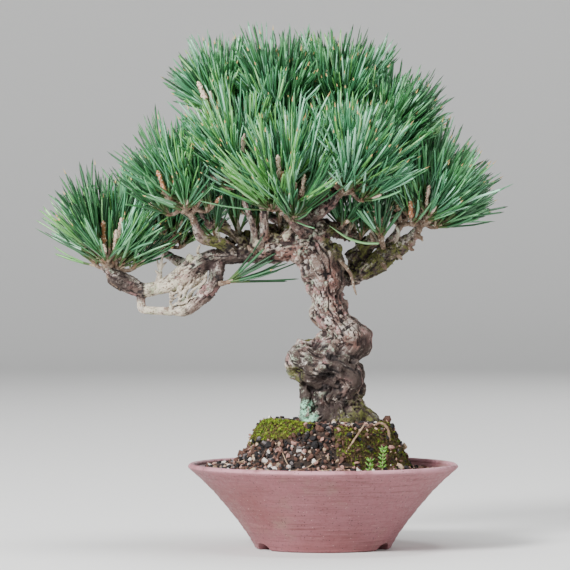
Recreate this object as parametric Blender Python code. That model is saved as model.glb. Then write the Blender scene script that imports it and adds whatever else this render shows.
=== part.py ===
"""A small Japanese black pine, trained as a bonsai, in a round flared clay pot.

The plant is modelled about the pot's own upright axis, with the table at z = 0, the front at -Y
and the long left bough at -X. The last step slides everything sideways, so that the origin is on
the table under the middle of the whole plant. All sizes are in metres.
"""

import math
import random

import bmesh
import bpy
from mathutils import Vector

GOLDEN_ANGLE = math.pi * (3 - math.sqrt(5))
SEAT_GAP = 0.0003  # what touches on the real plant keeps this gap here
CUT_GAP = 0.0004  # the gap left round a piece that is cut to a rough neighbour

# The pot
POT_HEIGHT = 0.0390
POT_FOOT_RADIUS = 0.0312
POT_RIM_RADIUS = 0.0622
POT_FLARE = 1.2  # how hollow the flare is: 1 is a straight cone
POT_WALL = 0.0046
POT_LIP_RADIUS = 0.0017
POT_LIP_ARC = (math.radians(-20), math.radians(180))
POT_OUTER_STEPS = 6
POT_LIP_STEPS = 5
POT_INNER_STEPS = 2
POT_FLOOR_TOP = 0.0080
POT_FLOOR_UNDER = 0.0030
POT_FOOT_RING = 0.0055
POT_DRAIN_RADIUS = 0.0050
POT_SIDES = 32
FOOT_NOTCHES = 3
FOOT_NOTCH_WIDTH = 0.0105
FOOT_NOTCH_HEIGHT = 0.0034
FOOT_NOTCH_STEPS = 8
FOOT_NOTCH_FIRST = math.radians(90)  # the middle notch is at the back

# The soil and the moss on it
SOIL_EDGE_Z = 0.0352
SOIL_TILT = 0.0018  # how much higher the soil lies at the left wall, and lower at the right
SOIL_TOP_Z = 0.0570
MOUND_FOOT_RADIUS = 0.0412
MOUND_SHIFT = -0.0008  # how far the mound is moved to the right
MOUND_SHOULDER_RADIUS = 0.0268
APRON_RADIUS = 0.0525  # a gentle slope runs from the mound nearly to the wall
APRON_SHARE = 0.2
SOIL_SIDES = 28
SOIL_WALL_STEPS = 3
SOIL_RADII = (0.0500, 0.0455, 0.0415, 0.0390, 0.0360, 0.0330, 0.0300, 0.0270, 0.0200)
MOSS_PATCHES = {  # (from, to) in degrees round the mound, (from, to) in radius, and how thick
    "moss_left": ((140, 262), (0.0150, 0.0340), 0.0032),
    "moss_right": ((-82, 24), (0.0255, 0.0405), 0.0022),
}
MOSS_ROWS = 4
MOSS_COLUMNS = 8
MOSS_EDGE_SHARE = 0.3  # how thick a cushion's edge is, of its middle
MOSS_CORNER_INSET = 0.0040
MOSS_SINK = 0.0012  # how deep a cushion reaches before it is cut to the ground

# The trunk: (x, y, z, radius) of the wood's heart, from the ground to the tip
TRUNK_ROUTE = (
    (0.0100, 0.0000, 0.0520, 0.0140),
    (0.0083, 0.0000, 0.0630, 0.0108),
    (0.0045, -0.0005, 0.0700, 0.0098),
    (0.0100, -0.0030, 0.0785, 0.0100),
    (0.0010, -0.0045, 0.0830, 0.0110),
    (-0.0070, -0.0015, 0.0855, 0.0102),
    (-0.0010, 0.0040, 0.0890, 0.0100),
    (0.0115, 0.0015, 0.0945, 0.0099),
    (0.0080, 0.0010, 0.1020, 0.0088),
    (0.0025, 0.0010, 0.1105, 0.0085),
    (0.0014, 0.0000, 0.1190, 0.0087),
    (0.0007, -0.0010, 0.1270, 0.0088),
    (-0.0018, -0.0020, 0.1335, 0.0092),
    (-0.0050, -0.0015, 0.1400, 0.0078),
    (-0.0060, 0.0000, 0.1480, 0.0058),
    (-0.0075, 0.0020, 0.1590, 0.0047),
    (-0.0105, 0.0030, 0.1720, 0.0038),
    (-0.0125, 0.0020, 0.1830, 0.0030),
    (-0.0150, 0.0000, 0.1900, 0.0023),
)
ROOTS = (
    ((0.0060, -0.0020, 0.0660, 0.0052), (-0.0040, -0.0050, 0.0560, 0.0052)),
    ((0.0100, 0.0000, 0.0640, 0.0075), (0.0220, -0.0030, 0.0560, 0.0055)),
    ((0.0100, 0.0020, 0.0630, 0.0070), (0.0170, 0.0130, 0.0550, 0.0050)),
    ((0.0080, 0.0030, 0.0630, 0.0065), (-0.0010, 0.0120, 0.0550, 0.0048)),
    ((0.0090, -0.0030, 0.0620, 0.0060), (0.0110, -0.0140, 0.0550, 0.0042)),
    ((-0.0078, -0.0025, 0.0785, 0.0030), (-0.0074, -0.0042, 0.0555, 0.0036)),
)
TRUNK_BALL_STEP = 0.0012
TRUNK_VOXEL = 0.0011
TRUNK_FACES = 1400

# The boughs: each grows from the wood named first, along (x, y, z, radius) points
BOUGHS = {
    "left_bough": ("trunk", (
        (-0.0060, -0.0020, 0.1395, 0.0070),
        (-0.0152, -0.0030, 0.1389, 0.0068),
        (-0.0267, -0.0035, 0.1366, 0.0058),
        (-0.0382, -0.0030, 0.1350, 0.0042),
        (-0.0497, -0.0025, 0.1336, 0.0040),
        (-0.0590, -0.0020, 0.1290, 0.0052),
        (-0.0665, -0.0020, 0.1236, 0.0050),
        (-0.0750, -0.0020, 0.1201, 0.0034),
        (-0.0842, -0.0020, 0.1187, 0.0036),
        (-0.0934, -0.0025, 0.1225, 0.0034),
    )),
    "left_loop_limb": ("left_bough", (
        (-0.0483, -0.0025, 0.1310, 0.0036),
        (-0.0501, -0.0040, 0.1219, 0.0036),
        (-0.0555, -0.0035, 0.1155, 0.0034),
        (-0.0630, -0.0030, 0.1098, 0.0030),
        (-0.0680, -0.0030, 0.1091, 0.0024),
    )),
    "left_loop_end": ("left_loop_limb", (
        (-0.0665, -0.0030, 0.1092, 0.0023),
        (-0.0730, -0.0030, 0.1091, 0.0020),
        (-0.0796, -0.0030, 0.1094, 0.0019),
        (-0.0832, -0.0028, 0.1104, 0.0021),
        (-0.0836, -0.0024, 0.1160, 0.0020),
    )),
    "left_mid_bough": ("left_bough", (
        (-0.0400, -0.0030, 0.1350, 0.0030),
        (-0.0465, -0.0080, 0.1403, 0.0028),
        (-0.0552, -0.0115, 0.1425, 0.0024),
        (-0.0590, -0.0135, 0.1500, 0.0018),
    )),
    "left_back_bough": ("left_bough", (
        (-0.0590, -0.0020, 0.1290, 0.0034),
        (-0.0655, 0.0100, 0.1310, 0.0027),
        (-0.0715, 0.0210, 0.1345, 0.0019),
    )),
    "front_left_bough": ("left_bough", (
        (-0.0275, -0.0040, 0.1370, 0.0032),
        (-0.0268, -0.0085, 0.1480, 0.0021),
        (-0.0280, -0.0120, 0.1580, 0.0018),
        (-0.0315, -0.0150, 0.1640, 0.0015),
    )),
    "bare_snag": ("left_bough", (
        (-0.0325, -0.0045, 0.1370, 0.0020),
        (-0.0318, -0.0095, 0.1460, 0.0016),
        (-0.0340, -0.0115, 0.1535, 0.0013),
        (-0.0365, -0.0120, 0.1605, 0.0010),
    )),
    "right_bough": ("trunk", (
        (0.0030, 0.0040, 0.1270, 0.0040),
        (0.0115, 0.0075, 0.1245, 0.0036),
        (0.0165, 0.0070, 0.1255, 0.0034),
        (0.0216, 0.0040, 0.1306, 0.0035),
        (0.0285, 0.0010, 0.1362, 0.0036),
        (0.0345, -0.0020, 0.1389, 0.0032),
        (0.0400, -0.0045, 0.1426, 0.0027),
        (0.0435, -0.0060, 0.1465, 0.0021),
    )),
    "right_back_bough": ("right_bough", (
        (0.0216, 0.0040, 0.1306, 0.0028),
        (0.0290, 0.0170, 0.1385, 0.0022),
        (0.0350, 0.0270, 0.1460, 0.0016),
    )),
    "front_bough": ("trunk", (
        (-0.0060, -0.0010, 0.1450, 0.0042),
        (-0.0110, -0.0130, 0.1480, 0.0032),
        (-0.0155, -0.0210, 0.1520, 0.0020),
    )),
    "front_right_bough": ("trunk", (
        (-0.0065, 0.0000, 0.1510, 0.0034),
        (0.0010, -0.0110, 0.1560, 0.0025),
        (0.0070, -0.0190, 0.1620, 0.0017),
    )),
    "right_upper_bough": ("trunk", (
        (-0.0070, 0.0010, 0.1560, 0.0034),
        (0.0050, 0.0030, 0.1650, 0.0027),
        (0.0130, 0.0010, 0.1735, 0.0022),
        (0.0195, -0.0020, 0.1790, 0.0017),
    )),
    "back_left_bough": ("trunk", (
        (-0.0060, 0.0010, 0.1450, 0.0038),
        (-0.0180, 0.0200, 0.1500, 0.0028),
        (-0.0310, 0.0360, 0.1560, 0.0018),
    )),
    "back_right_bough": ("trunk", (
        (-0.0068, 0.0015, 0.1530, 0.0032),
        (0.0040, 0.0195, 0.1575, 0.0026),
        (0.0135, 0.0340, 0.1635, 0.0018),
    )),
    "upper_left_bough": ("trunk", (
        (-0.0095, 0.0025, 0.1680, 0.0032),
        (-0.0200, 0.0030, 0.1790, 0.0026),
        (-0.0320, 0.0015, 0.1910, 0.0020),
        (-0.0400, 0.0000, 0.1960, 0.0016),
    )),
    "back_top_bough": ("trunk", (
        (-0.0110, 0.0025, 0.1745, 0.0028),
        (-0.0105, 0.0145, 0.1840, 0.0022),
        (-0.0095, 0.0220, 0.1890, 0.0016),
    )),
    "top_right_bough": ("trunk", (
        (-0.0122, 0.0022, 0.1815, 0.0025),
        (-0.0050, 0.0015, 0.1890, 0.0021),
        (0.0025, 0.0000, 0.1935, 0.0016),
    )),
}
BOUGH_SIDES = 6
BOUGH_RINGS_PER_SPAN = 2
BOUGH_KNOBBLINESS = 0.07

# The foliage. Each mass grows from the tip of the wood named first. "stem" is where its own stem
# ends, "fan" the way its twigs spread on the whole, and "spread" how wide they open, in degrees.
FOLIAGE = {
    "foliage_left_low": dict(
        wood="left_bough", stem=(-0.0995, -0.0030, 0.1300), fan=(0.03, -0.08, 1.00),
        spread=48, tufts=8, twig=0.0050, needle=0.0352),
    "foliage_left_back": dict(
        wood="left_back_bough", stem=(-0.0760, 0.0260, 0.1390), fan=(0.05, 0.30, 0.92),
        spread=60, tufts=7, twig=0.0060, needle=0.0345),
    "foliage_left_mid": dict(
        wood="left_mid_bough", stem=(-0.0640, -0.0160, 0.1560), fan=(-0.15, -0.25, 0.95),
        spread=60, tufts=7, twig=0.0050, needle=0.0328),
    "foliage_under_left": dict(
        wood="left_loop_limb", stem=(-0.0440, -0.0070, 0.1225), fan=(1.00, -0.15, 0.06),
        spread=0, tufts=1, twig=0.0010, needle=0.0280, side_of=1),
    "foliage_front_left": dict(
        wood="front_left_bough", stem=(-0.0370, -0.0180, 0.1680), fan=(-0.18, -0.40, 0.90),
        spread=62, tufts=8, twig=0.0050, needle=0.0360),
    "foliage_front": dict(
        wood="front_bough", stem=(-0.0165, -0.0280, 0.1565), fan=(-0.05, -0.40, 0.90),
        spread=66, tufts=9, twig=0.0060, needle=0.0410),
    "foliage_front_right": dict(
        wood="front_right_bough", stem=(0.0110, -0.0230, 0.1640), fan=(0.22, -0.40, 0.90),
        spread=62, tufts=8, twig=0.0060, needle=0.0380),
    "foliage_right_front": dict(
        wood="right_bough", stem=(0.0262, -0.0100, 0.1425), fan=(-0.10, -0.40, 0.90),
        spread=25, tufts=2, twig=0.0010, needle=0.0230, side_of=4),
    "foliage_right_low": dict(
        wood="right_bough", stem=(0.0450, -0.0070, 0.1500), fan=(0.42, -0.12, 0.88),
        spread=66, tufts=9, twig=0.0050, needle=0.0352),
    "foliage_right_back": dict(
        wood="right_back_bough", stem=(0.0380, 0.0325, 0.1510), fan=(0.35, 0.40, 0.85),
        spread=66, tufts=8, twig=0.0060, needle=0.0350),
    "foliage_right_upper": dict(
        wood="right_upper_bough", stem=(0.0250, -0.0040, 0.1800), fan=(0.30, -0.08, 0.92),
        spread=56, tufts=9, twig=0.0060, needle=0.0342),
    "foliage_back_left": dict(
        wood="back_left_bough", stem=(-0.0360, 0.0420, 0.1600), fan=(-0.20, 0.45, 0.88),
        spread=66, tufts=8, twig=0.0070, needle=0.0362),
    "foliage_back_right": dict(
        wood="back_right_bough", stem=(0.0160, 0.0390, 0.1680), fan=(0.15, 0.45, 0.88),
        spread=66, tufts=8, twig=0.0070, needle=0.0360),
    "foliage_upper_left": dict(
        wood="upper_left_bough", stem=(-0.0465, -0.0010, 0.1975), fan=(-0.18, -0.10, 0.97),
        spread=58, tufts=8, twig=0.0030, needle=0.0310),
    "foliage_top_left": dict(
        wood="trunk", stem=(-0.0215, -0.0040, 0.1950), fan=(-0.05, -0.25, 0.98),
        spread=58, tufts=8, twig=0.0040, needle=0.0330),
    "foliage_top_right": dict(
        wood="top_right_bough", stem=(0.0070, -0.0015, 0.1955), fan=(0.10, -0.15, 0.98),
        spread=60, tufts=8, twig=0.0040, needle=0.0330),
    "foliage_back_top": dict(
        wood="back_top_bough", stem=(-0.0090, 0.0270, 0.1920), fan=(0.00, 0.40, 0.90),
        spread=66, tufts=8, twig=0.0050, needle=0.0330),
}
STEM_SIDES = 5
STEM_BEND = 0.35  # how far along it a stem keeps the way of its wood
STEM_TAPER = 0.85  # a stem's thickness where it starts, of the wood that it grows on
TWIGS_FROM = 0.7  # how far back from the stem's end the lowest twig leaves it
TWIG_SIDES = 3
TWIG_RADIUS = 0.0010
SIDE_STEM_RADIUS = 0.0013
SHOOT_LENGTH = 0.0070  # the needled end of a twig
SHOOT_RISE = 0.30  # how far a shoot turns up from its twig's way
SPRAYS_ROUND_SHOOT = 4
SPRAY_LEAN = math.radians(42)
SPRAY_LEAN_MIDDLE = math.radians(8)
SPRAY_FAN = math.radians(15)  # from the middle point of a spray to its outer ones
SPRAY_SHOULDER = (0.0034, 0.40)  # half the width there, and how far out it is
SPRAY_FORK = 0.55  # how far out the points part
SPRAY_RIDGE = (0.0009, 0.32)  # half the thickness there, and how far out it is
LOWEST_COURSE = -0.12  # how far below level a spray may point
SPRAY_TURNS = (0.0, 0.25, 0.5)  # how far a spray may turn in, to stay in its mass's space
SPRAY_SPACING = 0.0082  # the least distance between the middles of two sprays
SPACE_MIDDLE = 0.5  # where the middle of a mass's space is, of its reach along its fan
SPACE_WEIGHT = 0.6  # how much space it claims, of its reach
SPACE_MARGIN = 0.0010  # half of the gap kept between two masses
WOOD_MARGIN = 0.0012  # the least gap between a spray and any wood

MATERIALS = {
    "pot_clay": ((0.55, 0.34, 0.31), 0.62),
    "soil": ((0.10, 0.07, 0.05), 0.95),
    "moss": ((0.14, 0.22, 0.03), 0.95),
    "bark": ((0.30, 0.24, 0.20), 0.90),
    "needles": ((0.07, 0.19, 0.08), 0.55),
}


def clear_scene():
    for obj in list(bpy.data.objects):
        bpy.data.objects.remove(obj, do_unlink=True)


def material(name):
    """The named Principled material, made once."""
    found = bpy.data.materials.get(name)
    if found:
        return found
    made = bpy.data.materials.new(name)
    made.use_nodes = True
    colour, roughness = MATERIALS[name]
    shader = made.node_tree.nodes["Principled BSDF"]
    shader.inputs["Base Color"].default_value = (*colour, 1.0)
    shader.inputs["Roughness"].default_value = roughness
    shader.inputs["Metallic"].default_value = 0.0
    return made


def new_object(name, mesh, material_name=None):
    obj = bpy.data.objects.new(name, mesh)
    bpy.context.scene.collection.objects.link(obj)
    if material_name:
        mesh.materials.clear()
        mesh.materials.append(material(material_name))
    return obj


def object_from_bmesh(name, bm, material_name=None):
    bmesh.ops.recalc_face_normals(bm, faces=bm.faces)
    mesh = bpy.data.meshes.new(name)
    bm.to_mesh(mesh)
    bm.free()
    return new_object(name, mesh, material_name)


def apply_modifiers(obj):
    """Bakes the object's modifiers into its mesh."""
    bpy.context.view_layer.update()
    graph = bpy.context.evaluated_depsgraph_get()
    mesh = bpy.data.meshes.new_from_object(obj.evaluated_get(graph))
    obj.modifiers.clear()
    obj.data = mesh


def keep_largest_body(obj):
    """Drops the loose scraps that a Boolean can leave."""
    bm = bmesh.new()
    bm.from_mesh(obj.data)
    unseen = set(bm.verts)
    bodies = []
    while unseen:
        body, edge_of_it = set(), [unseen.pop()]
        while edge_of_it:
            vert = edge_of_it.pop()
            body.add(vert)
            for link in vert.link_edges:
                other = link.other_vert(vert)
                if other in unseen:
                    unseen.remove(other)
                    edge_of_it.append(other)
        bodies.append(body)
    bodies.sort(key=len)
    scraps = [vert for body in bodies[:-1] for vert in body]
    bmesh.ops.delete(bm, geom=scraps, context="VERTS")
    bmesh.ops.recalc_face_normals(bm, faces=bm.faces)
    bm.to_mesh(obj.data)
    bm.free()


def grown_copy(obj, gap):
    """A copy of the solid whose skin lies that gap outside it."""
    mesh = obj.data.copy()
    moved = [v.co + v.normal * gap for v in mesh.vertices]
    for vert, place in zip(mesh.vertices, moved):
        vert.co = place
    return new_object("clearance", mesh)


def boxes_meet(one, other):
    """True where the boxes of two solids meet."""
    for axis in range(3):
        a = [v.co[axis] for v in one.data.vertices]
        b = [v.co[axis] for v in other.data.vertices]
        if min(a) > max(b) or min(b) > max(a):
            return False
    return True


def cut_by(obj, cutter):
    """Cuts the cutter's shape out of the object, and removes the cutter."""
    if boxes_meet(obj, cutter):
        cut = obj.modifiers.new("cut", "BOOLEAN")
        cut.operation = "DIFFERENCE"
        cut.solver = "EXACT"
        cut.object = cutter
        apply_modifiers(obj)
        keep_largest_body(obj)
    bpy.data.objects.remove(cutter, do_unlink=True)


def smooth_route(knots, spans):
    """A Catmull-Rom curve through (x, y, z, radius) knots, with that many spans between two knots."""
    points = [Vector(k) for k in knots]
    ends = [2 * points[0] - points[1], *points, 2 * points[-1] - points[-2]]
    route = []
    for a, b, c, d in zip(ends, ends[1:], ends[2:], ends[3:]):
        for step in range(spans):
            t = step / spans
            route.append(0.5 * (
                2 * b + (c - a) * t
                + (2 * a - 5 * b + 4 * c - d) * t * t
                + (3 * b - a - 3 * c + d) * t * t * t))
    return [*route, points[-1]]


def turned_axes(directions):
    """For each direction, two vectors square to it that turn as little as they can along the way."""
    first = directions[0]
    side = first.cross(Vector((0.0, 0.0, 1.0)))
    if side.length < 0.1:
        side = first.cross(Vector((0.0, 1.0, 0.0)))
    axes = []
    for direction in directions:
        side = (side - direction * side.dot(direction)).normalized()
        axes.append((side, direction.cross(side)))
    return axes


def tube(bm, route, sides, knobbliness=0.0, seed=0):
    """Adds a closed tube along (x, y, z, radius) points to the bmesh."""
    rng = random.Random(seed)
    centres = [Vector(p[:3]) for p in route]
    ways = [(b - a).normalized() for a, b in zip(centres, centres[1:])]
    directions = [ways[0]]
    directions += [(a + b).normalized() for a, b in zip(ways, ways[1:])]
    directions.append(ways[-1])
    rings = []
    for point, (side, up) in zip(route, turned_axes(directions)):
        ring = []
        for k in range(sides):
            angle = 2 * math.pi * k / sides
            radius = point[3] * (1 + knobbliness * rng.uniform(-1, 1))
            out = side * math.cos(angle) + up * math.sin(angle)
            ring.append(bm.verts.new(Vector(point[:3]) + out * radius))
        rings.append(ring)
    for low, high in zip(rings, rings[1:]):
        for k in range(sides):
            n = (k + 1) % sides
            bm.faces.new((low[k], low[n], high[n], high[k]))
    bm.faces.new(reversed(rings[0]))
    bm.faces.new(rings[-1])


def pot_outer_radius(z):
    share = max(0.0, z) / POT_HEIGHT
    return POT_FOOT_RADIUS + (POT_RIM_RADIUS - POT_FOOT_RADIUS) * share ** POT_FLARE


def pot_inner_radius(z):
    return pot_outer_radius(z) - POT_WALL


def steps(first, last, count):
    """Evenly spaced values from the first to the last, both included."""
    return [first + (last - first) * i / count for i in range(count + 1)]


def pot_profile():
    """The cut through the pot's wall as (radius, z), up the outside and down the inside."""
    lip_z = POT_HEIGHT - POT_LIP_RADIUS
    lip_r = POT_RIM_RADIUS - POT_LIP_RADIUS
    outer = [(pot_outer_radius(z), z)
             for z in steps(0.0, lip_z - POT_LIP_RADIUS / 2, POT_OUTER_STEPS)]
    lip = [(lip_r + POT_LIP_RADIUS * math.cos(angle), lip_z + POT_LIP_RADIUS * math.sin(angle))
           for angle in steps(*POT_LIP_ARC, POT_LIP_STEPS)]
    inner = [(pot_inner_radius(z), z)
             for z in steps(lip_z - 2 * POT_LIP_RADIUS, POT_FLOOR_TOP, POT_INNER_STEPS)]
    ring_inside = POT_FOOT_RADIUS - POT_FOOT_RING
    under = [
        (POT_DRAIN_RADIUS, POT_FLOOR_TOP),
        (POT_DRAIN_RADIUS, POT_FLOOR_UNDER),
        (ring_inside - 0.0010, POT_FLOOR_UNDER),
        (ring_inside, 0.0),
    ]
    return [*outer, *lip, *inner, *under]


def make_pot():
    bm = bmesh.new()
    profile = [bm.verts.new((r, 0.0, z)) for r, z in pot_profile()]
    edges = [bm.edges.new((a, b)) for a, b in zip(profile, [*profile[1:], profile[0]])]
    bmesh.ops.spin(bm, geom=[*profile, *edges], axis=(0, 0, 1), cent=(0, 0, 0),
                   steps=POT_SIDES, angle=2 * math.pi, use_merge=True, use_duplicate=False)
    bmesh.ops.remove_doubles(bm, verts=bm.verts, dist=1e-6)
    pot = object_from_bmesh("pot", bm, "pot_clay")
    cutters = bpy.data.collections.new("foot_notches")
    bpy.context.scene.collection.children.link(cutters)
    for n in range(FOOT_NOTCHES):
        cutters.objects.link(foot_notch(n))
    cut = pot.modifiers.new("notches", "BOOLEAN")
    cut.operation = "DIFFERENCE"
    cut.operand_type = "COLLECTION"
    cut.collection = cutters
    cut.solver = "EXACT"
    apply_modifiers(pot)
    for cutter in list(cutters.objects):
        bpy.data.objects.remove(cutter, do_unlink=True)
    bpy.data.collections.remove(cutters)
    return pot


def foot_notch(number):
    """An arched bar that runs out through the foot ring, ready to be cut from it."""
    angle = FOOT_NOTCH_FIRST + 2 * math.pi * number / FOOT_NOTCHES
    out = Vector((math.cos(angle), math.sin(angle), 0.0))
    across = Vector((-out.y, out.x, 0.0))
    near, far = POT_FOOT_RADIUS - 2 * POT_FOOT_RING, POT_FOOT_RADIUS + 2 * POT_FOOT_RING
    outline = [(-1.0, -0.5), (1.0, -0.5)]
    outline += [(math.cos(a), math.sin(a)) for a in steps(0.0, math.pi, FOOT_NOTCH_STEPS)]
    bm = bmesh.new()
    ends = []
    for reach in (near, far):
        ends.append([bm.verts.new(
            out * reach + across * (u * FOOT_NOTCH_WIDTH / 2)
            + Vector((0.0, 0.0, v * FOOT_NOTCH_HEIGHT))) for u, v in outline])
    bm.faces.new(ends[0])
    bm.faces.new(reversed(ends[1]))
    count = len(outline)
    for k in range(count):
        n = (k + 1) % count
        bm.faces.new((ends[0][k], ends[0][n], ends[1][n], ends[1][k]))
    bmesh.ops.recalc_face_normals(bm, faces=bm.faces)
    mesh = bpy.data.meshes.new("notch")
    bm.to_mesh(mesh)
    bm.free()
    return bpy.data.objects.new("notch", mesh)


def soil_edge_z(angle):
    return SOIL_EDGE_Z - SOIL_TILT * math.cos(angle)


def share_of_slope(foot, shoulder, radius):
    """How far up a slope a radius is: 0 at its foot and 1 at its shoulder."""
    return min(1.0, max(0.0, (foot - radius) / (foot - shoulder)))


def ground_height(radius, angle):
    """The soil's surface: a steep mound that carries the tree, with a gentle apron round it."""
    ripple = 0.0012 * math.sin(3 * angle + 0.7) + 0.0009 * math.sin(5 * angle + 2.0)
    foot = MOUND_FOOT_RADIUS + MOUND_SHIFT * math.cos(angle) + ripple
    shoulder = MOUND_SHOULDER_RADIUS + MOUND_SHIFT * math.cos(angle) + 1.5 * ripple
    mound = share_of_slope(foot, shoulder, radius)
    apron = share_of_slope(APRON_RADIUS, shoulder, radius)
    share = (1 - APRON_SHARE) * mound * mound * (3 - 2 * mound) + APRON_SHARE * apron
    edge = soil_edge_z(angle)
    return edge + (SOIL_TOP_Z - edge) * share


def ground_point(radius, angle):
    return Vector((radius * math.cos(angle), radius * math.sin(angle),
                   ground_height(radius, angle)))


def ground_normal(radius, angle):
    step = 0.0005
    along = ground_point(radius + step, angle) - ground_point(radius - step, angle)
    turn = step / max(radius, step)
    around = ground_point(radius, angle + turn) - ground_point(radius, angle - turn)
    return along.cross(around).normalized()


def make_soil():
    """The filling of the pot: its wall, its level edge and the mound, as rings round the axis."""
    angles = [2 * math.pi * k / SOIL_SIDES for k in range(SOIL_SIDES)]
    floor_z = POT_FLOOR_TOP + SEAT_GAP
    rings = []
    for share in steps(0.0, 1.0, SOIL_WALL_STEPS):
        ring = []
        for angle in angles:
            z = floor_z + (soil_edge_z(angle) - floor_z) * share
            radius = pot_inner_radius(z) - 2 * SEAT_GAP
            ring.append((radius * math.cos(angle), radius * math.sin(angle), z))
        rings.append(ring)
    for radius in SOIL_RADII:
        rings.append([ground_point(radius, a) for a in angles])
    bm = bmesh.new()
    loops = [[bm.verts.new(place) for place in ring] for ring in rings]
    for low, high in zip(loops, loops[1:]):
        for k in range(SOIL_SIDES):
            n = (k + 1) % SOIL_SIDES
            bm.faces.new((low[k], low[n], high[n], high[k]))
    bm.faces.new(loops[0])
    bm.faces.new(loops[-1])
    bmesh.ops.triangulate(bm, faces=bm.faces)
    return object_from_bmesh("soil", bm, "soil")


def make_moss(name, neighbours):
    """A cushion of moss that lies on the mound, cut clear of what it lies on."""
    (start, end), (near, far), thickness = MOSS_PATCHES[name]
    bm = bmesh.new()
    seat, top = [], []
    for u in steps(0.0, 1.0, MOSS_ROWS):
        seat_row, top_row = [], []
        for v in steps(0.0, 1.0, MOSS_COLUMNS):
            angle = math.radians(start + (end - start) * v)
            inset = MOSS_CORNER_INSET * (2 * v - 1) ** 2
            radius = near + inset + (far - near - 2 * inset) * u
            swell = max(0.0, math.sin(math.pi * u) * math.sin(math.pi * v)) ** 0.4
            height = thickness * (MOSS_EDGE_SHARE + (1 - MOSS_EDGE_SHARE) * swell)
            point, normal = ground_point(radius, angle), ground_normal(radius, angle)
            seat_row.append(bm.verts.new(point - normal * MOSS_SINK))
            top_row.append(bm.verts.new(point + normal * height))
        seat.append(seat_row)
        top.append(top_row)
    for i in range(MOSS_ROWS):
        for j in range(MOSS_COLUMNS):
            bm.faces.new((top[i][j], top[i + 1][j], top[i + 1][j + 1], top[i][j + 1]))
            bm.faces.new((seat[i][j], seat[i][j + 1], seat[i + 1][j + 1], seat[i + 1][j]))
    border = [(i, 0) for i in range(MOSS_ROWS)]
    border += [(MOSS_ROWS, j) for j in range(MOSS_COLUMNS)]
    border += [(i, MOSS_COLUMNS) for i in range(MOSS_ROWS, 0, -1)]
    border += [(0, j) for j in range(MOSS_COLUMNS, 0, -1)]
    for (i, j), (m, n) in zip(border, [*border[1:], border[0]]):
        bm.faces.new((seat[i][j], seat[m][n], top[m][n], top[i][j]))
    moss = object_from_bmesh(name, bm, "moss")
    for neighbour in neighbours:
        cut_by(moss, grown_copy(neighbour, CUT_GAP))
    return moss


def balls_along(bm, route, step):
    """Overlapping balls along (x, y, z, radius) points, close enough to read as one rod."""
    for a, b in zip(route, route[1:]):
        count = max(1, math.ceil((b - a).to_3d().length / step))
        for i in range(count):
            point = a.lerp(b, i / count)
            made = bmesh.ops.create_icosphere(bm, subdivisions=2, radius=point[3])
            bmesh.ops.translate(bm, verts=made["verts"], vec=point.to_3d())


def make_trunk():
    """The trunk and its root flare: balls along the routes, fused to one skin and cut flat below."""
    bm = bmesh.new()
    balls_along(bm, smooth_route(TRUNK_ROUTE, 4), TRUNK_BALL_STEP)
    for root in ROOTS:
        balls_along(bm, [Vector(k) for k in root], TRUNK_BALL_STEP)
    trunk = object_from_bmesh("trunk", bm, "bark")
    skin = trunk.modifiers.new("skin", "REMESH")
    skin.mode = "VOXEL"
    skin.voxel_size = TRUNK_VOXEL
    apply_modifiers(trunk)
    fewer = trunk.modifiers.new("fewer", "DECIMATE")
    fewer.ratio = min(1.0, TRUNK_FACES / (2 * len(trunk.data.polygons)))
    apply_modifiers(trunk)
    bm = bmesh.new()
    bm.from_mesh(trunk.data)
    cut = bmesh.ops.bisect_plane(
        bm, geom=[*bm.verts, *bm.edges, *bm.faces], dist=1e-7,
        plane_co=(0, 0, SOIL_TOP_Z + SEAT_GAP), plane_no=(0, 0, -1), clear_outer=True)
    rim = [e for e in cut["geom_cut"] if isinstance(e, bmesh.types.BMEdge)]
    bmesh.ops.holes_fill(bm, edges=rim, sides=0)
    bmesh.ops.recalc_face_normals(bm, faces=bm.faces)
    bm.to_mesh(trunk.data)
    bm.free()
    trunk.data.materials.clear()
    trunk.data.materials.append(material("bark"))
    return trunk


def bough_solid(object_name, bough, gap=0.0):
    """A bough as its whole tube, thicker and longer by the gap where it is to cut a neighbour."""
    knots = BOUGHS[bough][1]
    route = smooth_route([(x, y, z, radius + gap) for x, y, z, radius in knots], BOUGH_RINGS_PER_SPAN)
    for end, inner in ((0, 1), (-1, -2)):
        place = route[end].to_3d()
        outward = (place - route[inner].to_3d()).normalized()
        route[end] = Vector((*(place + outward * gap), route[end][3]))
    bm = bmesh.new()
    tube(bm, route, BOUGH_SIDES, BOUGH_KNOBBLINESS, seed=list(BOUGHS).index(bough))
    return object_from_bmesh(object_name, bm, "bark")


def cut_clear_of(obj, wood_name, trunk):
    """Cuts the object's end to the surface of the trunk or of a bough, a little clear of it."""
    if wood_name == "trunk":
        cut_by(obj, grown_copy(trunk, CUT_GAP))
    else:
        cut_by(obj, bough_solid("clearance", wood_name, CUT_GAP))


def make_boughs(trunk):
    """Every bough, cut clear of the trunk and of the boughs that it grows from or passes."""
    boughs = {}
    for name in BOUGHS:
        bough = bough_solid(name, name)
        for other in ("trunk", *boughs):
            cut_clear_of(bough, other, trunk)
        boughs[name] = bough
    return boughs


def wood_samples():
    """Points with a radius, close together along every piece of wood, as (x, y, z, radius)."""
    routes = [smooth_route(TRUNK_ROUTE, 6)]
    routes += [smooth_route(knots, 6) for _, knots in BOUGHS.values()]
    return [point for route in routes for point in route]


def foliage_centre(mass):
    """The middle of a mass's own space, and the size that weighs it against its neighbours'."""
    reach = mass["twig"] + mass["needle"]
    middle = Vector(mass["stem"]) + Vector(mass["fan"]).normalized() * SPACE_MIDDLE * reach
    return middle, SPACE_WEIGHT * reach


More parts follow.
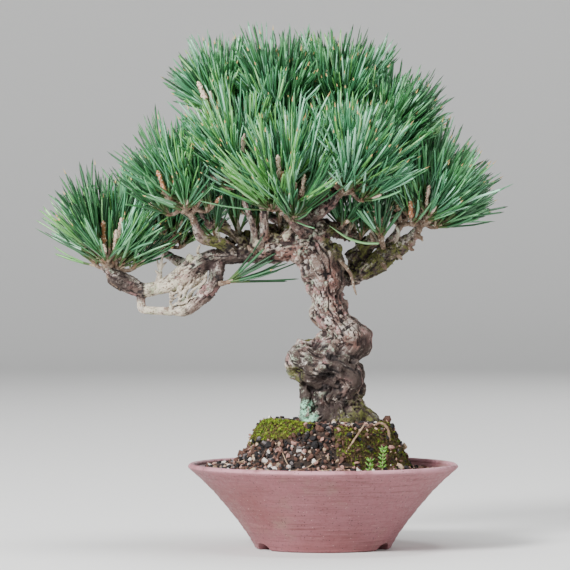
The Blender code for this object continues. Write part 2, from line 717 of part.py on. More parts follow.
def in_own_space(point, name, spaces):
    """True where the point is nearer this mass than any other, by more than the margin."""
    centre, size = spaces[name]
    own = (point - centre).length_squared - size * size
    for other, (there, there_size) in spaces.items():
        if other == name:
            continue
        apart = (there - centre).length
        lead = (point - there).length_squared - there_size * there_size - own
        if lead < 2 * apart * SPACE_MARGIN:
            return False
    return True


def clear_of_wood(start, end, radius, wood):
    """True where a straight piece keeps clear of all wood."""
    for share in steps(0.1, 1.0, 8):
        point = start.lerp(end, share)
        for rod in wood:
            least = rod[3] * (1 + BOUGH_KNOBBLINESS) + radius + WOOD_MARGIN
            if (point - rod.to_3d()).length_squared < least * least:
                return False
    return True


def fan_direction(axis, lean, turn):
    """The axis leaned over by one angle and turned about itself by another."""
    side = axis.orthogonal().normalized()
    out = side * math.cos(turn) + axis.cross(side) * math.sin(turn)
    return axis * math.cos(lean) + out * math.sin(lean)


def spray_points(root, course, across, length):
    """The outline of a spray with three points, round from its root, and its two ridge points."""
    def at(angle, reach):
        return root + (course * math.cos(angle) + across * math.sin(angle)) * reach * length

    wide, shoulder = SPRAY_SHOULDER
    thick, ridge = SPRAY_RIDGE
    middle = root + course * shoulder * length
    outline = [
        root,
        middle - across * wide,
        at(-SPRAY_FAN, 0.96),
        at(-SPRAY_FAN / 2, SPRAY_FORK),
        at(0.0, 1.0),
        at(SPRAY_FAN / 2, SPRAY_FORK),
        at(SPRAY_FAN, 0.96),
        middle + across * wide,
    ]
    deep = course.cross(across) * thick
    heart = root + course * ridge * length
    return outline, (heart + deep, heart - deep)


def spray_mesh(outline, ridges):
    """A spray of needles as a toothed blade: its outline, joined to a ridge on each side."""
    bm = bmesh.new()
    ring = [bm.verts.new(p) for p in outline]
    for ridge in ridges:
        top = bm.verts.new(ridge)
        for a, b in zip(ring, [*ring[1:], ring[0]]):
            bm.faces.new((a, b, top))
    return bm


def wood_tip(mass):
    """Where the mass's stem starts: (place, direction, radius) at the end or the side of its wood."""
    knots = TRUNK_ROUTE if mass["wood"] == "trunk" else BOUGHS[mass["wood"]][1]
    if "side_of" in mass:
        knot = Vector(knots[mass["side_of"]])
        out = (Vector(mass["stem"]) - knot.to_3d()).normalized()
        return knot.to_3d() + out * knot[3] / 2, out, SIDE_STEM_RADIUS
    before, last = smooth_route(knots, BOUGH_RINGS_PER_SPAN)[-2:]
    out = (last.to_3d() - before.to_3d()).normalized()
    return last.to_3d() + out * SEAT_GAP, out, last[3] * STEM_TAPER


def twig_route(mass, number, bend, seed, rng):
    """Where a twig leaves the stem, where it turns up, and where its shoot ends."""
    axis = Vector(mass["fan"]).normalized()
    share = (number + 0.5) / mass["tufts"]
    lean = math.radians(mass["spread"]) * math.sqrt(share)
    way = fan_direction(axis, lean, number * GOLDEN_ANGLE + seed)
    foot = Vector(mass["stem"]).lerp(bend, TWIGS_FROM * share)
    knee = foot + way * mass["twig"] * rng.uniform(0.85, 1.15)
    rise = way.lerp(axis + Vector((0.0, 0.0, 0.5)), SHOOT_RISE).normalized()
    return foot, knee, knee + rise * SHOOT_LENGTH


def sprays_of(mass, centre, knee, tip, turn, rng):
    """The sprays round one shoot. Each is a list of choices, turned more and more towards the
    middle of the mass's space, and each choice is an outline with its ridge points."""
    way = (tip - knee).normalized()
    count = SPRAYS_ROUND_SHOOT
    for k in range(count + 1):
        lean = SPRAY_LEAN if k < count else SPRAY_LEAN_MIDDLE
        free = fan_direction(way, lean, 2 * math.pi * k / count + turn)
        root = knee.lerp(tip, 0.25 + 0.7 * k / count)
        inward = (centre - root).normalized()
        length = mass["needle"] * rng.uniform(0.92, 1.04)
        choices = []
        for share in SPRAY_TURNS:
            course = free.lerp(inward, share)
            course.z = max(course.z, LOWEST_COURSE)
            course.normalize()
            across = course.cross(way).normalized()
            choices.append(spray_points(root, course, across, length))
        yield choices


def fits(points, name, spaces, wood):
    """True where a spray keeps to its own mass's space and clear of all wood."""
    root = points[0]
    if not all(in_own_space(p, name, spaces) for p in points[1:]):
        return False
    return all(clear_of_wood(root.lerp(points[i], 0.2), points[i], TWIG_RADIUS, wood)
               for i in (2, 4, 6))


def make_foliage(name, spaces, wood, seed, trunk):
    """One mass: a stem, the twigs that branch from it, and the sprays round each shoot."""
    mass = FOLIAGE[name]
    rng = random.Random(seed)
    start, out, radius = wood_tip(mass)
    stem_end = Vector(mass["stem"])
    centre = spaces[name][0]
    bend = start + out * STEM_BEND * (stem_end - start).length
    bm = bmesh.new()
    tube(bm, smooth_route((
        (*start, radius), (*bend, radius * 0.9), (*stem_end, TWIG_RADIUS)), 1), STEM_SIDES)
    stem = object_from_bmesh(name, bm, "needles")
    if "side_of" in mass or mass["wood"] == "trunk":
        cut_clear_of(stem, mass["wood"], trunk)
    pieces, middles = [], []
    for n in range(mass["tufts"]):
        foot, knee, tip = twig_route(mass, n, bend, seed, rng)
        if not in_own_space(tip, name, spaces) or not clear_of_wood(
                foot.lerp(tip, 0.45), tip, TWIG_RADIUS, wood):
            continue
        sprays = []
        for choices in sprays_of(mass, centre, knee, tip, n + seed, rng):
            fitting = [c for c in choices if fits(c[0], name, spaces, wood)]
            if not fitting:
                continue
            outline, ridges = fitting[0]
            middle = outline[0].lerp(outline[4], 0.7)
            if all((middle - other).length > SPRAY_SPACING for other in middles):
                middles.append(middle)
                sprays.append(spray_mesh(outline, ridges))
        if sprays:
            bm = bmesh.new()
            tube(bm, ((*foot, TWIG_RADIUS), (*knee, TWIG_RADIUS), (*tip, TWIG_RADIUS * 0.8)),
                 TWIG_SIDES)
            pieces += [bm, *sprays]
    fuse(stem, pieces)
    return stem


def fuse(obj, pieces):
    """Joins the pieces to the object in one Boolean union."""
    crowd = bpy.data.collections.new(obj.name + "_pieces")
    bpy.context.scene.collection.children.link(crowd)
    for n, bm in enumerate(pieces):
        bmesh.ops.recalc_face_normals(bm, faces=bm.faces)
        mesh = bpy.data.meshes.new("piece")
        bm.to_mesh(mesh)
        bm.free()
        crowd.objects.link(bpy.data.objects.new(f"piece_{n}", mesh))
    union = obj.modifiers.new("union", "BOOLEAN")
    union.operation = "UNION"
    union.operand_type = "COLLECTION"
    union.collection = crowd
    union.solver = "EXACT"
    apply_modifiers(obj)
    for piece in list(crowd.objects):
        bpy.data.objects.remove(piece, do_unlink=True)
    bpy.data.collections.remove(crowd)
    keep_largest_body(obj)


def centre_on_origin(objects):
    """Slides the whole plant sideways, so that the origin is under the middle of its box."""
    corners = [obj.matrix_world @ v.co for obj in objects for v in obj.data.vertices]
    middle = Vector((
        (min(c.x for c in corners) + max(c.x for c in corners)) / 2,
        (min(c.y for c in corners) + max(c.y for c in corners)) / 2,
        0.0))
    for obj in objects:
        for vert in obj.data.vertices:
            vert.co -= middle
    print("the pot's axis is at", [round(-v, 5) for v in middle])


def main():
    clear_scene()
    made = {"pot": make_pot(), "soil": make_soil(), "trunk": make_trunk()}
    for name in MOSS_PATCHES:
        made[name] = make_moss(name, (made["soil"], made["trunk"]))
    made |= make_boughs(made["trunk"])
    spaces = {name: foliage_centre(mass) for name, mass in FOLIAGE.items()}
    wood = wood_samples()
    for number, name in enumerate(FOLIAGE):
        made[name] = make_foliage(name, spaces, wood, number + 1, made["trunk"])
    centre_on_origin(list(made.values()))


main()
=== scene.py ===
# %% [markdown]
# # Dressing a small black pine in its pot
# The real thing is a Japanese black pine about twenty centimetres tall, trained for decades in a
# shallow clay pot. The packed solids give its true outline in a few thousand faces. This lesson
# grows the plant on from them: bark with relief, thousands of paired needles, moss, grit and a
# thrown pot. It could be sculpted by hand, but a rule with fixed seeds gives the same tree each
# time and lets one number change a whole crown.

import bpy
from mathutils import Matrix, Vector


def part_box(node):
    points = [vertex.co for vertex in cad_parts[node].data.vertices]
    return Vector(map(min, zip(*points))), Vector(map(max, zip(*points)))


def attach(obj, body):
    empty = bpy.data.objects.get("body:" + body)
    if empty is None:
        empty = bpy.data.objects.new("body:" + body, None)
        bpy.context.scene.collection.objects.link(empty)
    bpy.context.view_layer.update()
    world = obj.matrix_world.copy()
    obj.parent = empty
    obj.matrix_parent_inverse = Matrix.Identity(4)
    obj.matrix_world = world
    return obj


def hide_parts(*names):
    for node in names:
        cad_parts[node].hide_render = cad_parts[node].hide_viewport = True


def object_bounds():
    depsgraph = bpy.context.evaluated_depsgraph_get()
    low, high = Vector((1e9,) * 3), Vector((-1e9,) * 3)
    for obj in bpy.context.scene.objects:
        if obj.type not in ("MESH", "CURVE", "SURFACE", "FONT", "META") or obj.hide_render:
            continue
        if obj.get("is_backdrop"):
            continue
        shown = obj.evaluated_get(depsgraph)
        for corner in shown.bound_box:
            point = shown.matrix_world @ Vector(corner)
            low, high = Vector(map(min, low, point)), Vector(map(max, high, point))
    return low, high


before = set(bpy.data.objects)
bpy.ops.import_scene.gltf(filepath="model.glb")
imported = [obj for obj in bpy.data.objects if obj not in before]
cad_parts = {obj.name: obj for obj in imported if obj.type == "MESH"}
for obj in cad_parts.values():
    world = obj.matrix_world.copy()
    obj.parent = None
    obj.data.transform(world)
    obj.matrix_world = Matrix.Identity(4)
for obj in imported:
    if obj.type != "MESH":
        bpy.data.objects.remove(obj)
CAD_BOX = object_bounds()
print("solids:", len(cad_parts), "from", tuple(CAD_BOX[0]), "to", tuple(CAD_BOX[1]))

# %% [markdown]
# ## Where the plant stands
# The origin of the solids lies under the middle of the whole plant, but a tree is easiest to
# describe about the upright axis of its pot. So every point below is given in metres from that
# axis, with the front at minus y and the long bough at minus x, and each mesh is slid sideways
# as it is made.

# %% Find the axis of the pot
import math
import random

import bmesh
import bpy
import numpy as np
from mathutils import Vector, kdtree, noise

pot_low, pot_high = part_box("pot")
AXIS = np.array([(pot_low.x + pot_high.x) / 2, (pot_low.y + pot_high.y) / 2, 0.0])
GOLDEN_ANGLE = math.pi * (3 - math.sqrt(5))
print("the pot's axis is at", AXIS.round(5))

# %% [markdown]
# ## Camera
# The photograph was taken from a little under two metres away with a long lens, just above the
# height of the lowest needles, so the rim of the pot shows as a thin oval. A short lens close by
# would bulge the middle of the crown. Here the camera looks down by less than one degree.

# %% Put something into the scene
def placed(name, data):
    """A new object in the scene that shows this mesh, lamp or camera."""
    made = bpy.data.objects.new(name, data)
    bpy.context.scene.collection.objects.link(made)
    return made


# %% Place the camera
CAMERA_DISTANCE = 1.8
CAMERA_SIDE = -0.0175
CAMERA_HEIGHT = 0.145
PICTURE_WIDTH = 0.2622  # how much of the plant's own plane the picture takes in
PICTURE_MIDDLE = 0.121
SENSOR = 36.0

lens = bpy.data.cameras.new("long_lens")
lens.sensor_width = SENSOR
lens.lens = SENSOR * CAMERA_DISTANCE / PICTURE_WIDTH
lens.clip_end = 50.0
camera = placed("camera", lens)
camera.location = (AXIS[0] + CAMERA_SIDE, AXIS[1] - CAMERA_DISTANCE, CAMERA_HEIGHT)
tilt = math.atan2(CAMERA_HEIGHT - PICTURE_MIDDLE, CAMERA_DISTANCE)
camera.rotation_euler = (math.pi / 2 - tilt, 0.0, 0.0)
bpy.context.scene.camera = camera
print("lens", round(lens.lens), "mm, tilted down", round(math.degrees(tilt), 2), "degrees")

# %% [markdown]
# ## Making meshes from arrays
# Needles, grit and moss are small things by the thousand. Copies or particles would be quick to
# make, but an export drops them, so each kind is joined into one real mesh. A collector gathers
# points, triangles and a tint number for each triangle, and turns them into one object at the end.

# %% A collector of small shapes
class Gathered:
    """Points, triangles and the number of a finish for each triangle, on their way to one mesh."""

    def __init__(self):
        self.points = []
        self.triangles = []
        self.tints = []
        self.count = 0

    def add(self, points, triangles, tint=0):
        points = np.asarray(points, float).reshape(-1, 3)
        triangles = np.asarray(triangles, int).reshape(-1, 3)
        self.points.append(points)
        self.triangles.append(triangles + self.count)
        self.tints.append(np.broadcast_to(tint, len(triangles)))
        self.count += len(points)

    def mesh(self, name, smooth=True):
        points = np.concatenate(self.points) + AXIS
        triangles = np.concatenate(self.triangles)
        made = bpy.data.meshes.new(name)
        made.vertices.add(len(points))
        made.vertices.foreach_set("co", points.ravel())
        made.loops.add(triangles.size)
        made.loops.foreach_set("vertex_index", triangles.ravel())
        made.polygons.add(len(triangles))
        made.polygons.foreach_set("loop_start", np.arange(0, triangles.size, 3))
        made.polygons.foreach_set("material_index", np.concatenate(self.tints))
        made.polygons.foreach_set("use_smooth", np.full(len(triangles), smooth))
        made.update(calc_edges=True)
        return made


def dress(mesh, finishes, replaced=()):
    """Turns a mesh into a piece of the plant with its finishes."""
    piece = placed(mesh.name, mesh)
    for finish in finishes:
        mesh.materials.append(finish.material)
    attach(piece, "root")
    if replaced:
        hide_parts(*replaced)
    print(piece.name, len(mesh.polygons), "faces")


print("a collector holds", ", ".join(vars(Gathered())))

# %% [markdown]
# ## Curves and rods
# Wood is described by a few points with a thickness each. A Catmull-Rom curve passes through all
# of them, which a Bezier curve would only do with extra handles. Directions square to the curve
# turn as little as they can from point to point, so that a tube along it never twists. The
# tables of points are in millimetres, and a small helper turns them into metres.

# %% Millimetres to metres
def metres(table):
    """The same table with its millimetres in metres, and its names as they are."""
    if isinstance(table, str):
        return table
    if isinstance(table, dict):
        return {name: metres(rows) for name, rows in table.items()}
    if isinstance(table, tuple):
        return tuple(metres(row) for row in table)
    return round(table / 1000, 7)


print("12.5 millimetres are", metres(12.5), "metres")


# %% Smooth routes
def smooth_route(knots, spans):
    """A curve through (x, y, z, radius) knots as an array, with that many spans between two."""
    points = np.array(knots, float)
    ends = np.vstack([2 * points[0] - points[1], points, 2 * points[-1] - points[-2]])
    route = []
    for a, b, c, d in zip(ends, ends[1:], ends[2:], ends[3:]):
        for t in np.arange(spans) / spans:
            route.append(0.5 * (2 * b + (c - a) * t + (2 * a - 5 * b + 4 * c - d) * t**2
                                + (3 * b - a - 3 * c + d) * t**3))
    return np.array([*route, points[-1]])


def unit(vectors):
    """The same directions, one long."""
    return vectors / np.maximum(np.linalg.norm(vectors, axis=-1, keepdims=True), 1e-12)


def axes_along(centres):
    """The direction of a route at each point, with two directions square to it."""
    ways = unit(np.gradient(centres, axis=0))
    side = np.cross(ways[0], (0.0, 0.0, 1.0))
    if np.linalg.norm(side) < 0.1:
        side = np.cross(ways[0], (0.0, 1.0, 0.0))
    sides = []
    for way in ways:
        side = unit(side - way * np.dot(side, way))
        sides.append(side)
    sides = np.array(sides)
    return ways, sides, np.cross(ways, sides)


print("a route through three knots:", len(smooth_route([(0, 0, 0), (1, 0, 0), (2, 0, 1)], 6)))

# %% Nets and tubes
def net(rows, columns, ring=True):
    """The triangles of a net of points in rows, which closes to a ring or is open at its sides."""
    triangles = []
    for start in range(0, (rows - 1) * columns, columns):
        for k in range(columns if ring else columns - 1):
            a, b = start + k, start + (k + 1) % columns
            triangles += [(a, b, b + columns), (a, b + columns, a + columns)]
    return triangles


def tube(gathered, route, sides=6, roughness=0.0, rng=None, tint=0):
    """Adds a closed tube along (x, y, z, radius) points, with a pointed cap at each end."""
    route = np.asarray(route, float)
    centres, radii = route[:, :3], route[:, 3]
    ways, across, up = axes_along(centres)
    angles = np.arange(sides) * 2 * math.pi / sides
    swell = np.ones((len(route), sides))
    if rng:
        swell += roughness * np.array([[rng.uniform(-1, 1) for _ in angles] for _ in route])
    out = (across[:, None] * np.cos(angles)[None, :, None]
           + up[:, None] * np.sin(angles)[None, :, None])
    rings = centres[:, None] + out * (radii[:, None] * swell)[..., None]
    caps = np.array([centres[0] - ways[0] * radii[0] / 2, centres[-1] + ways[-1] * radii[-1] / 2])
    triangles = net(len(route), sides)
    last = len(route) * sides
    for k in range(sides):
        n = (k + 1) % sides
        triangles += [(last, n, k), (last + 1, last - sides + k, last - sides + n)]
    gathered.add(np.vstack([rings.reshape(-1, 3), caps]), triangles, tint)


print("a tube of ten rings and six sides has", 2 * 6 * 9 + 12, "triangles")

# %% [markdown]
# ## Effects that several finishes share
# Real surfaces vary at more than one scale: broad stains, fine grain and scattered specks. Each
# such effect is a shader node group with its own inputs, so that clay, bark, moss and wood can
# use it at their own scale. A group gives out only a mask or a height. The shader itself stays
# in each material, where an export can read it.

# %% A helper for node groups and materials
def node(tree, kind, values=None, **settings):
    """Adds a node, with its settings and the values or links of its inputs."""
    made = tree.nodes.new(kind)
    for name, value in settings.items():
        setattr(made, name, value)
    for name, value in (values or {}).items():
        if isinstance(value, bpy.types.NodeSocket):
            tree.links.new(value, made.inputs[name])
        else:
            made.inputs[name].default_value = value
    return made


def effect(name, inputs, output):
    """A new node group: inputs is {name: start value}, and there is one output."""
    group = bpy.data.node_groups.new(name, "ShaderNodeTree")
    for label, value in inputs.items():
        socket = group.interface.new_socket(label, in_out="INPUT", socket_type="NodeSocketFloat")
        socket.default_value = value
    group.interface.new_socket(output, in_out="OUTPUT", socket_type="NodeSocketFloat")
    return group, node(group, "NodeGroupInput").outputs, node(group, "NodeGroupOutput").inputs


def place_of(tree):
    """Where each point of the surface is, in metres, so that a scale of 1000 is a millimetre."""
    return node(tree, "ShaderNodeTexCoord").outputs["Object"]


print("helpers:", node.__name__, effect.__name__, place_of.__name__)

# %% [markdown]
# ### Broad stains
# Old wood and clay are never one tone. Cloudy noise, stretched to full contrast between two
# levels, gives the soft-edged patches that water, wear and shade leave behind. A Level above 1
# draws them out sideways, as the wheel does with streaks in clay.

# %% Stains
STAINS, given, out = effect(
    "Stains", {"Scale": 100.0, "Roughness": 0.6, "Low": 0.4, "High": 0.6, "Shift": 0.0,
               "Level": 1.0}, "Mask")
level = node(STAINS, "ShaderNodeCombineXYZ", {0: 1.0, 1: 1.0, 2: given["Level"]})
drawn = node(STAINS, "ShaderNodeVectorMath", {0: place_of(STAINS), 1: level.outputs[0]},
             operation="MULTIPLY")
moved = node(STAINS, "ShaderNodeVectorMath", {0: drawn.outputs[0], 1: given["Shift"]},
             operation="ADD")
cloud = node(STAINS, "ShaderNodeTexNoise", {
    "Vector": moved.outputs[0], "Scale": given["Scale"], "Detail": 5.0,
    "Roughness": given["Roughness"]})
spread = node(STAINS, "ShaderNodeMapRange", {
    "Value": cloud.outputs["Fac"], "From Min": given["Low"], "From Max": given["High"]},
    interpolation_type="SMOOTHSTEP")
STAINS.links.new(spread.outputs[0], out["Mask"])
print(STAINS.name, [s.name for s in STAINS.interface.items_tree])

# %% [markdown]
# ### Specks
# Iron spots in the clay, pale lichen dots and grains all show as small separate marks. Cells of
# a Voronoi pattern each hold one mark, and only a share of the cells keep theirs.

# %% Specks
SPECKS, given, out = effect("Specks", {"Scale": 800.0, "Size": 0.2, "Share": 0.5}, "Mask")
cells = node(SPECKS, "ShaderNodeTexVoronoi", {"Vector": place_of(SPECKS), "Scale": given["Scale"]})
near = node(SPECKS, "ShaderNodeMath", {0: cells.outputs["Distance"], 1: given["Size"]},
            operation="LESS_THAN")
lot = node(SPECKS, "ShaderNodeSeparateColor", {"Color": cells.outputs["Color"]})
kept = node(SPECKS, "ShaderNodeMath", {0: lot.outputs["Red"], 1: given["Share"]},
            operation="LESS_THAN")
both = node(SPECKS, "ShaderNodeMath", {0: near.outputs[0], 1: kept.outputs[0]},
            operation="MULTIPLY")
SPECKS.links.new(both.outputs[0], out["Mask"])
print(SPECKS.name, [s.name for s in SPECKS.interface.items_tree])

# %% [markdown]
# ### Height above the table
# The pot is painted paler towards its top, as light from above would leave it, and darker at
# its foot as painted shade, with a painted highlight along its lip. This mask rises from 0 at one
# height to 1 at another.

# %% Height
HEIGHT, given, out = effect("Height", {"Bottom": 0.0, "Top": 0.04}, "Mask")
levels = node(HEIGHT, "ShaderNodeSeparateXYZ", {"Vector": place_of(HEIGHT)})
risen = node(HEIGHT, "ShaderNodeMapRange", {
    "Value": levels.outputs["Z"], "From Min": given["Bottom"], "From Max": given["Top"]},
    interpolation_type="SMOOTHSTEP")
HEIGHT.links.new(risen.outputs[0], out["Mask"])
print(HEIGHT.name, [s.name for s in HEIGHT.interface.items_tree])

# %% [markdown]
# ### Grain
# The finest roughness is only felt as a dullness and a broken highlight. It is a height that
# each material feeds to its own Bump node.

# %% Grain
GRAIN, given, out = effect("Grain", {"Scale": 1500.0, "Stretch": 1.0}, "Height")
squeezed = node(GRAIN, "ShaderNodeCombineXYZ", {0: 1.0, 1: 1.0, 2: given["Stretch"]})
laid = node(GRAIN, "ShaderNodeVectorMath", {0: place_of(GRAIN), 1: squeezed.outputs[0]},
            operation="MULTIPLY")
fine = node(GRAIN, "ShaderNodeTexNoise", {
    "Vector": laid.outputs[0], "Scale": given["Scale"], "Detail": 4.0, "Roughness": 0.7})
GRAIN.links.new(fine.outputs["Fac"], out["Height"])
print(GRAIN.name, [s.name for s in GRAIN.interface.items_tree])


# %% [markdown]
# ### A finish is layers of colour
# Every material below starts from one colour and lays others over it, each through a mask, as a
# painter glazes. The last colour feeds the shader, and a height feeds its normal. A mask is one
# of the effects with its own values, or a number that the mesh holds at each of its points.

# %% An effect with its values
def stains(scale, low, high, roughness=0.6, shift=0.0, level=1.0):
    return STAINS, dict(scale=scale, low=low, high=high, roughness=roughness, shift=shift,
                        level=level)


def specks(scale, size, share):
    return SPECKS, dict(scale=scale, size=size, share=share)


def height(bottom, top):
    return HEIGHT, dict(bottom=bottom, top=top)


def grain(scale, stretch=1.0):
    return GRAIN, dict(scale=scale, stretch=stretch)


print("specks of a millimetre:", specks(1000, 0.3, 0.5)[1])


# %% Building a finish from layers
class Finish:
    """A Principled material whose base colour is built up in layers."""

    def __init__(self, name, colour, roughness):
        self.material = bpy.data.materials.new(name)
        self.material.use_nodes = True
        self.tree = self.material.node_tree
        self.shader = self.tree.nodes["Principled BSDF"]
        self.shader.inputs["Base Color"].default_value = (*colour, 1.0)
        self.shader.inputs["Roughness"].default_value = roughness
        self.colour = (*colour, 1.0)

    def mask(self, effect):
        """The output of an effect, or of the number that the mesh holds under a name."""
        if isinstance(effect, str):
            return node(self.tree, "ShaderNodeAttribute", attribute_name=effect).outputs["Fac"]
        group, values = effect
        made = node(self.tree, "ShaderNodeGroup", node_tree=group)
        for label, value in values.items():
            made.inputs[label.capitalize()].default_value = value
        return made.outputs[0]

    def lay(self, mask, colour):
        """Lays another colour over what is there, as far as the mask says."""
        mix = node(self.tree, "ShaderNodeMix", data_type="RGBA")
        self.tree.links.new(mask, mix.inputs["Factor"])
        if isinstance(self.colour, tuple):
            mix.inputs["A"].default_value = self.colour
        else:
            self.tree.links.new(self.colour, mix.inputs["A"])
        mix.inputs["B"].default_value = (*colour, 1.0)
        self.colour = mix.outputs["Result"]
        self.tree.links.new(self.colour, self.shader.inputs["Base Color"])

    def layers(self, *rows):
        """Each row is a colour after one mask, or after two that are multiplied."""
        for *effects, colour in rows:
            masks = [self.mask(effect) for effect in effects]
            if len(masks) == 2:
                both = node(self.tree, "ShaderNodeMath", dict(enumerate(masks)),
                            operation="MULTIPLY")
                masks = [both.outputs[0]]
            self.lay(masks[0], colour)

    def relief(self, effect, depth, strength=1.0):
        bump = node(self.tree, "ShaderNodeBump", {
            "Height": self.mask(effect), "Distance": depth, "Strength": strength})
        self.tree.links.new(bump.outputs["Normal"], self.shader.inputs["Normal"])

    def shine(self, effect, low, high):
        """Roughness that goes from low to high as the mask says."""
        spread = node(self.tree, "ShaderNodeMapRange", {
            "Value": self.mask(effect), "To Min": low, "To Max": high})
        self.tree.links.new(spread.outputs[0], self.shader.inputs["Roughness"])


print("a finish has", [name for name in vars(Finish) if name[0] != "_"])

# %% [markdown]
# ## The pot
# It is a wide flared bowl of unglazed pinkish clay, thrown on a wheel: the wall is slightly
# hollow in outline, the lip is rolled round, and three arched notches are cut through the foot
# ring so that water can drain away. A lathe is the natural way to make it, so a fine profile is
# spun round the axis, with the shallow rings that the potter's fingers left.

# %% The profile of the pot
POT_HEIGHT = 0.039
POT_FOOT_RADIUS = 0.0312
POT_RIM_RADIUS = 0.0622
POT_FLARE = 1.2
POT_WALL = 0.0046
POT_LIP_RADIUS = 0.0017
POT_FLOOR_TOP = 0.008
POT_FLOOR_UNDER = 0.003
POT_FOOT_RING = 0.0055
POT_DRAIN_RADIUS = 0.005
POT_SIDES = 160
THROWING_DEPTH = 0.00012
FINGER_RINGS = (2300, 5100)  # how close the rings lie: radians for each metre of height
FOOT_BEVEL = 0.0006
FLARE_FROM = 0.026
FLARE_BEND = 1.5
WALL_STEPS = 36
LIP_STEPS = 14
LIP_ARC = (5, 185)  # degrees, from the outside over the top


def pot_radius(z):
    """How far the outside of the wall is from the axis at a height."""
    share = (max(0.0, z) / POT_HEIGHT) ** POT_FLARE
    return POT_FOOT_RADIUS + (POT_RIM_RADIUS - POT_FOOT_RADIUS) * share


def rim_flare(z):
    """How far the top of the wall bends out to run straight into the lip."""
    lip_z = POT_HEIGHT - POT_LIP_RADIUS
    share = max(0.0, (z - FLARE_FROM) / (lip_z - FLARE_FROM))
    return (POT_RIM_RADIUS - pot_radius(lip_z)) * share ** FLARE_BEND


def throwing_ring(z):
    """How far a shallow finger ring pushes the wall out at a height."""
    wide, narrow = FINGER_RINGS
    return THROWING_DEPTH * (math.sin(z * wide) + 0.6 * math.sin(z * narrow + 1.0))


def pot_profile():
    """The cut through the wall as (radius, z), up the outside and down the inside."""
    lip_z = POT_HEIGHT - POT_LIP_RADIUS
    lip_r = POT_RIM_RADIUS - POT_LIP_RADIUS
    heights = np.linspace(FOOT_BEVEL, lip_z - 0.3 * POT_LIP_RADIUS, WALL_STEPS)
    outer = [(POT_FOOT_RADIUS - FOOT_BEVEL, 0.0)]
    outer += [(pot_radius(z) + rim_flare(z) + throwing_ring(z), z) for z in heights]
    lip = [(lip_r + POT_LIP_RADIUS * math.cos(a), lip_z + POT_LIP_RADIUS * math.sin(a))
           for a in np.radians(np.linspace(*LIP_ARC, LIP_STEPS))]
    inner = [(pot_radius(z) + rim_flare(z) - POT_WALL + throwing_ring(z * 1.3), z)
             for z in np.linspace(lip_z - 1.6 * POT_LIP_RADIUS, POT_FLOOR_TOP, LIP_STEPS)]
    ring_inside = POT_FOOT_RADIUS - POT_FOOT_RING
    under = [(POT_DRAIN_RADIUS, POT_FLOOR_TOP), (POT_DRAIN_RADIUS, POT_FLOOR_UNDER),
             (ring_inside - 0.001, POT_FLOOR_UNDER), (ring_inside, 0.0)]
    return [*outer, *lip, *inner, *under]


print("points in the pot's profile:", len(pot_profile()))

# %% A lathe
def as_mesh(shape, name):
    """Ends the work on a shape and keeps it as a mesh."""
    mesh = bpy.data.meshes.new(name)
    shape.to_mesh(mesh)
    shape.free()
    return mesh


def spun(name, profile, centre, sides, closed=True):
    """A (radius, z) profile turned once round the upright line through the centre."""
    wheel = bmesh.new()
    line = [wheel.verts.new((centre[0] + r, centre[1], z)) for r, z in profile]
    edges = [wheel.edges.new(pair) for pair in zip(line, line[1:] + line[:1] * closed)]
    bmesh.ops.spin(wheel, geom=[*line, *edges], axis=(0, 0, 1), cent=centre, steps=sides,
                   angle=2 * math.pi, use_merge=True, use_duplicate=False)
    bmesh.ops.remove_doubles(wheel, verts=wheel.verts, dist=1e-6)
    bmesh.ops.recalc_face_normals(wheel, faces=wheel.faces)
    return as_mesh(wheel, name)


print("the lathe turns the pot in steps of", 360 / POT_SIDES, "degrees")

# %% Spin the pot and cut its foot notches
NOTCHES = 3
NOTCH_WIDTH = 0.0105
NOTCH_HEIGHT = 0.0034
SHARP_FROM = math.radians(35)  # an edge that bends by more stays crisp


def foot_notch(angle):
    """An arched bar that runs out through the foot ring."""
    out = Vector((math.cos(angle), math.sin(angle), 0.0))
    across = Vector((-out.y, out.x, 0.0))
    arch = [(-1.0, -0.5), (1.0, -0.5)]
    arch += [(math.cos(a), math.sin(a)) for a in np.linspace(0.0, math.pi, 15)]
    cutter = bmesh.new()
    ends = []
    for reach in (POT_FOOT_RADIUS - 2 * POT_FOOT_RING, POT_FOOT_RADIUS + 2 * POT_FOOT_RING):
        ends.append([cutter.verts.new(
            out * reach + across * (u * NOTCH_WIDTH / 2) + Vector((0, 0, v * NOTCH_HEIGHT))
            + Vector(AXIS)) for u, v in arch])
    cutter.faces.new(ends[0])
    cutter.faces.new(reversed(ends[1]))
    for k in range(len(arch)):
        n = (k + 1) % len(arch)
        cutter.faces.new((ends[0][k], ends[0][n], ends[1][n], ends[1][k]))
    bmesh.ops.recalc_face_normals(cutter, faces=cutter.faces)
    return bpy.data.objects.new("notch", as_mesh(cutter, "notch"))


def applied(piece):
    """The piece's mesh with its modifiers worked in."""
    bpy.context.view_layer.update()
    graph = bpy.context.evaluated_depsgraph_get()
    return bpy.data.meshes.new_from_object(piece.evaluated_get(graph))


def thrown_pot():
    """The profile spun round the axis, with the notches cut out."""
    blank = placed("thrown", spun("thrown", pot_profile(), AXIS, POT_SIDES))
    for n in range(NOTCHES):
        cutter = foot_notch(math.pi / 2 + 2 * math.pi * n / NOTCHES)
        cut = blank.modifiers.new("notch", "BOOLEAN")
        cut.object = cutter
        cut.solver = "EXACT"
    done = applied(blank)
    for cut in blank.modifiers:
        bpy.data.objects.remove(cut.object, do_unlink=True)
    bpy.data.objects.remove(blank, do_unlink=True)
    done.shade_smooth()
    done.set_sharp_from_angle(angle=SHARP_FROM)
    done.name = "flared_pot"
    return done


pot_mesh = thrown_pot()
print("pot faces:", len(pot_mesh.polygons))
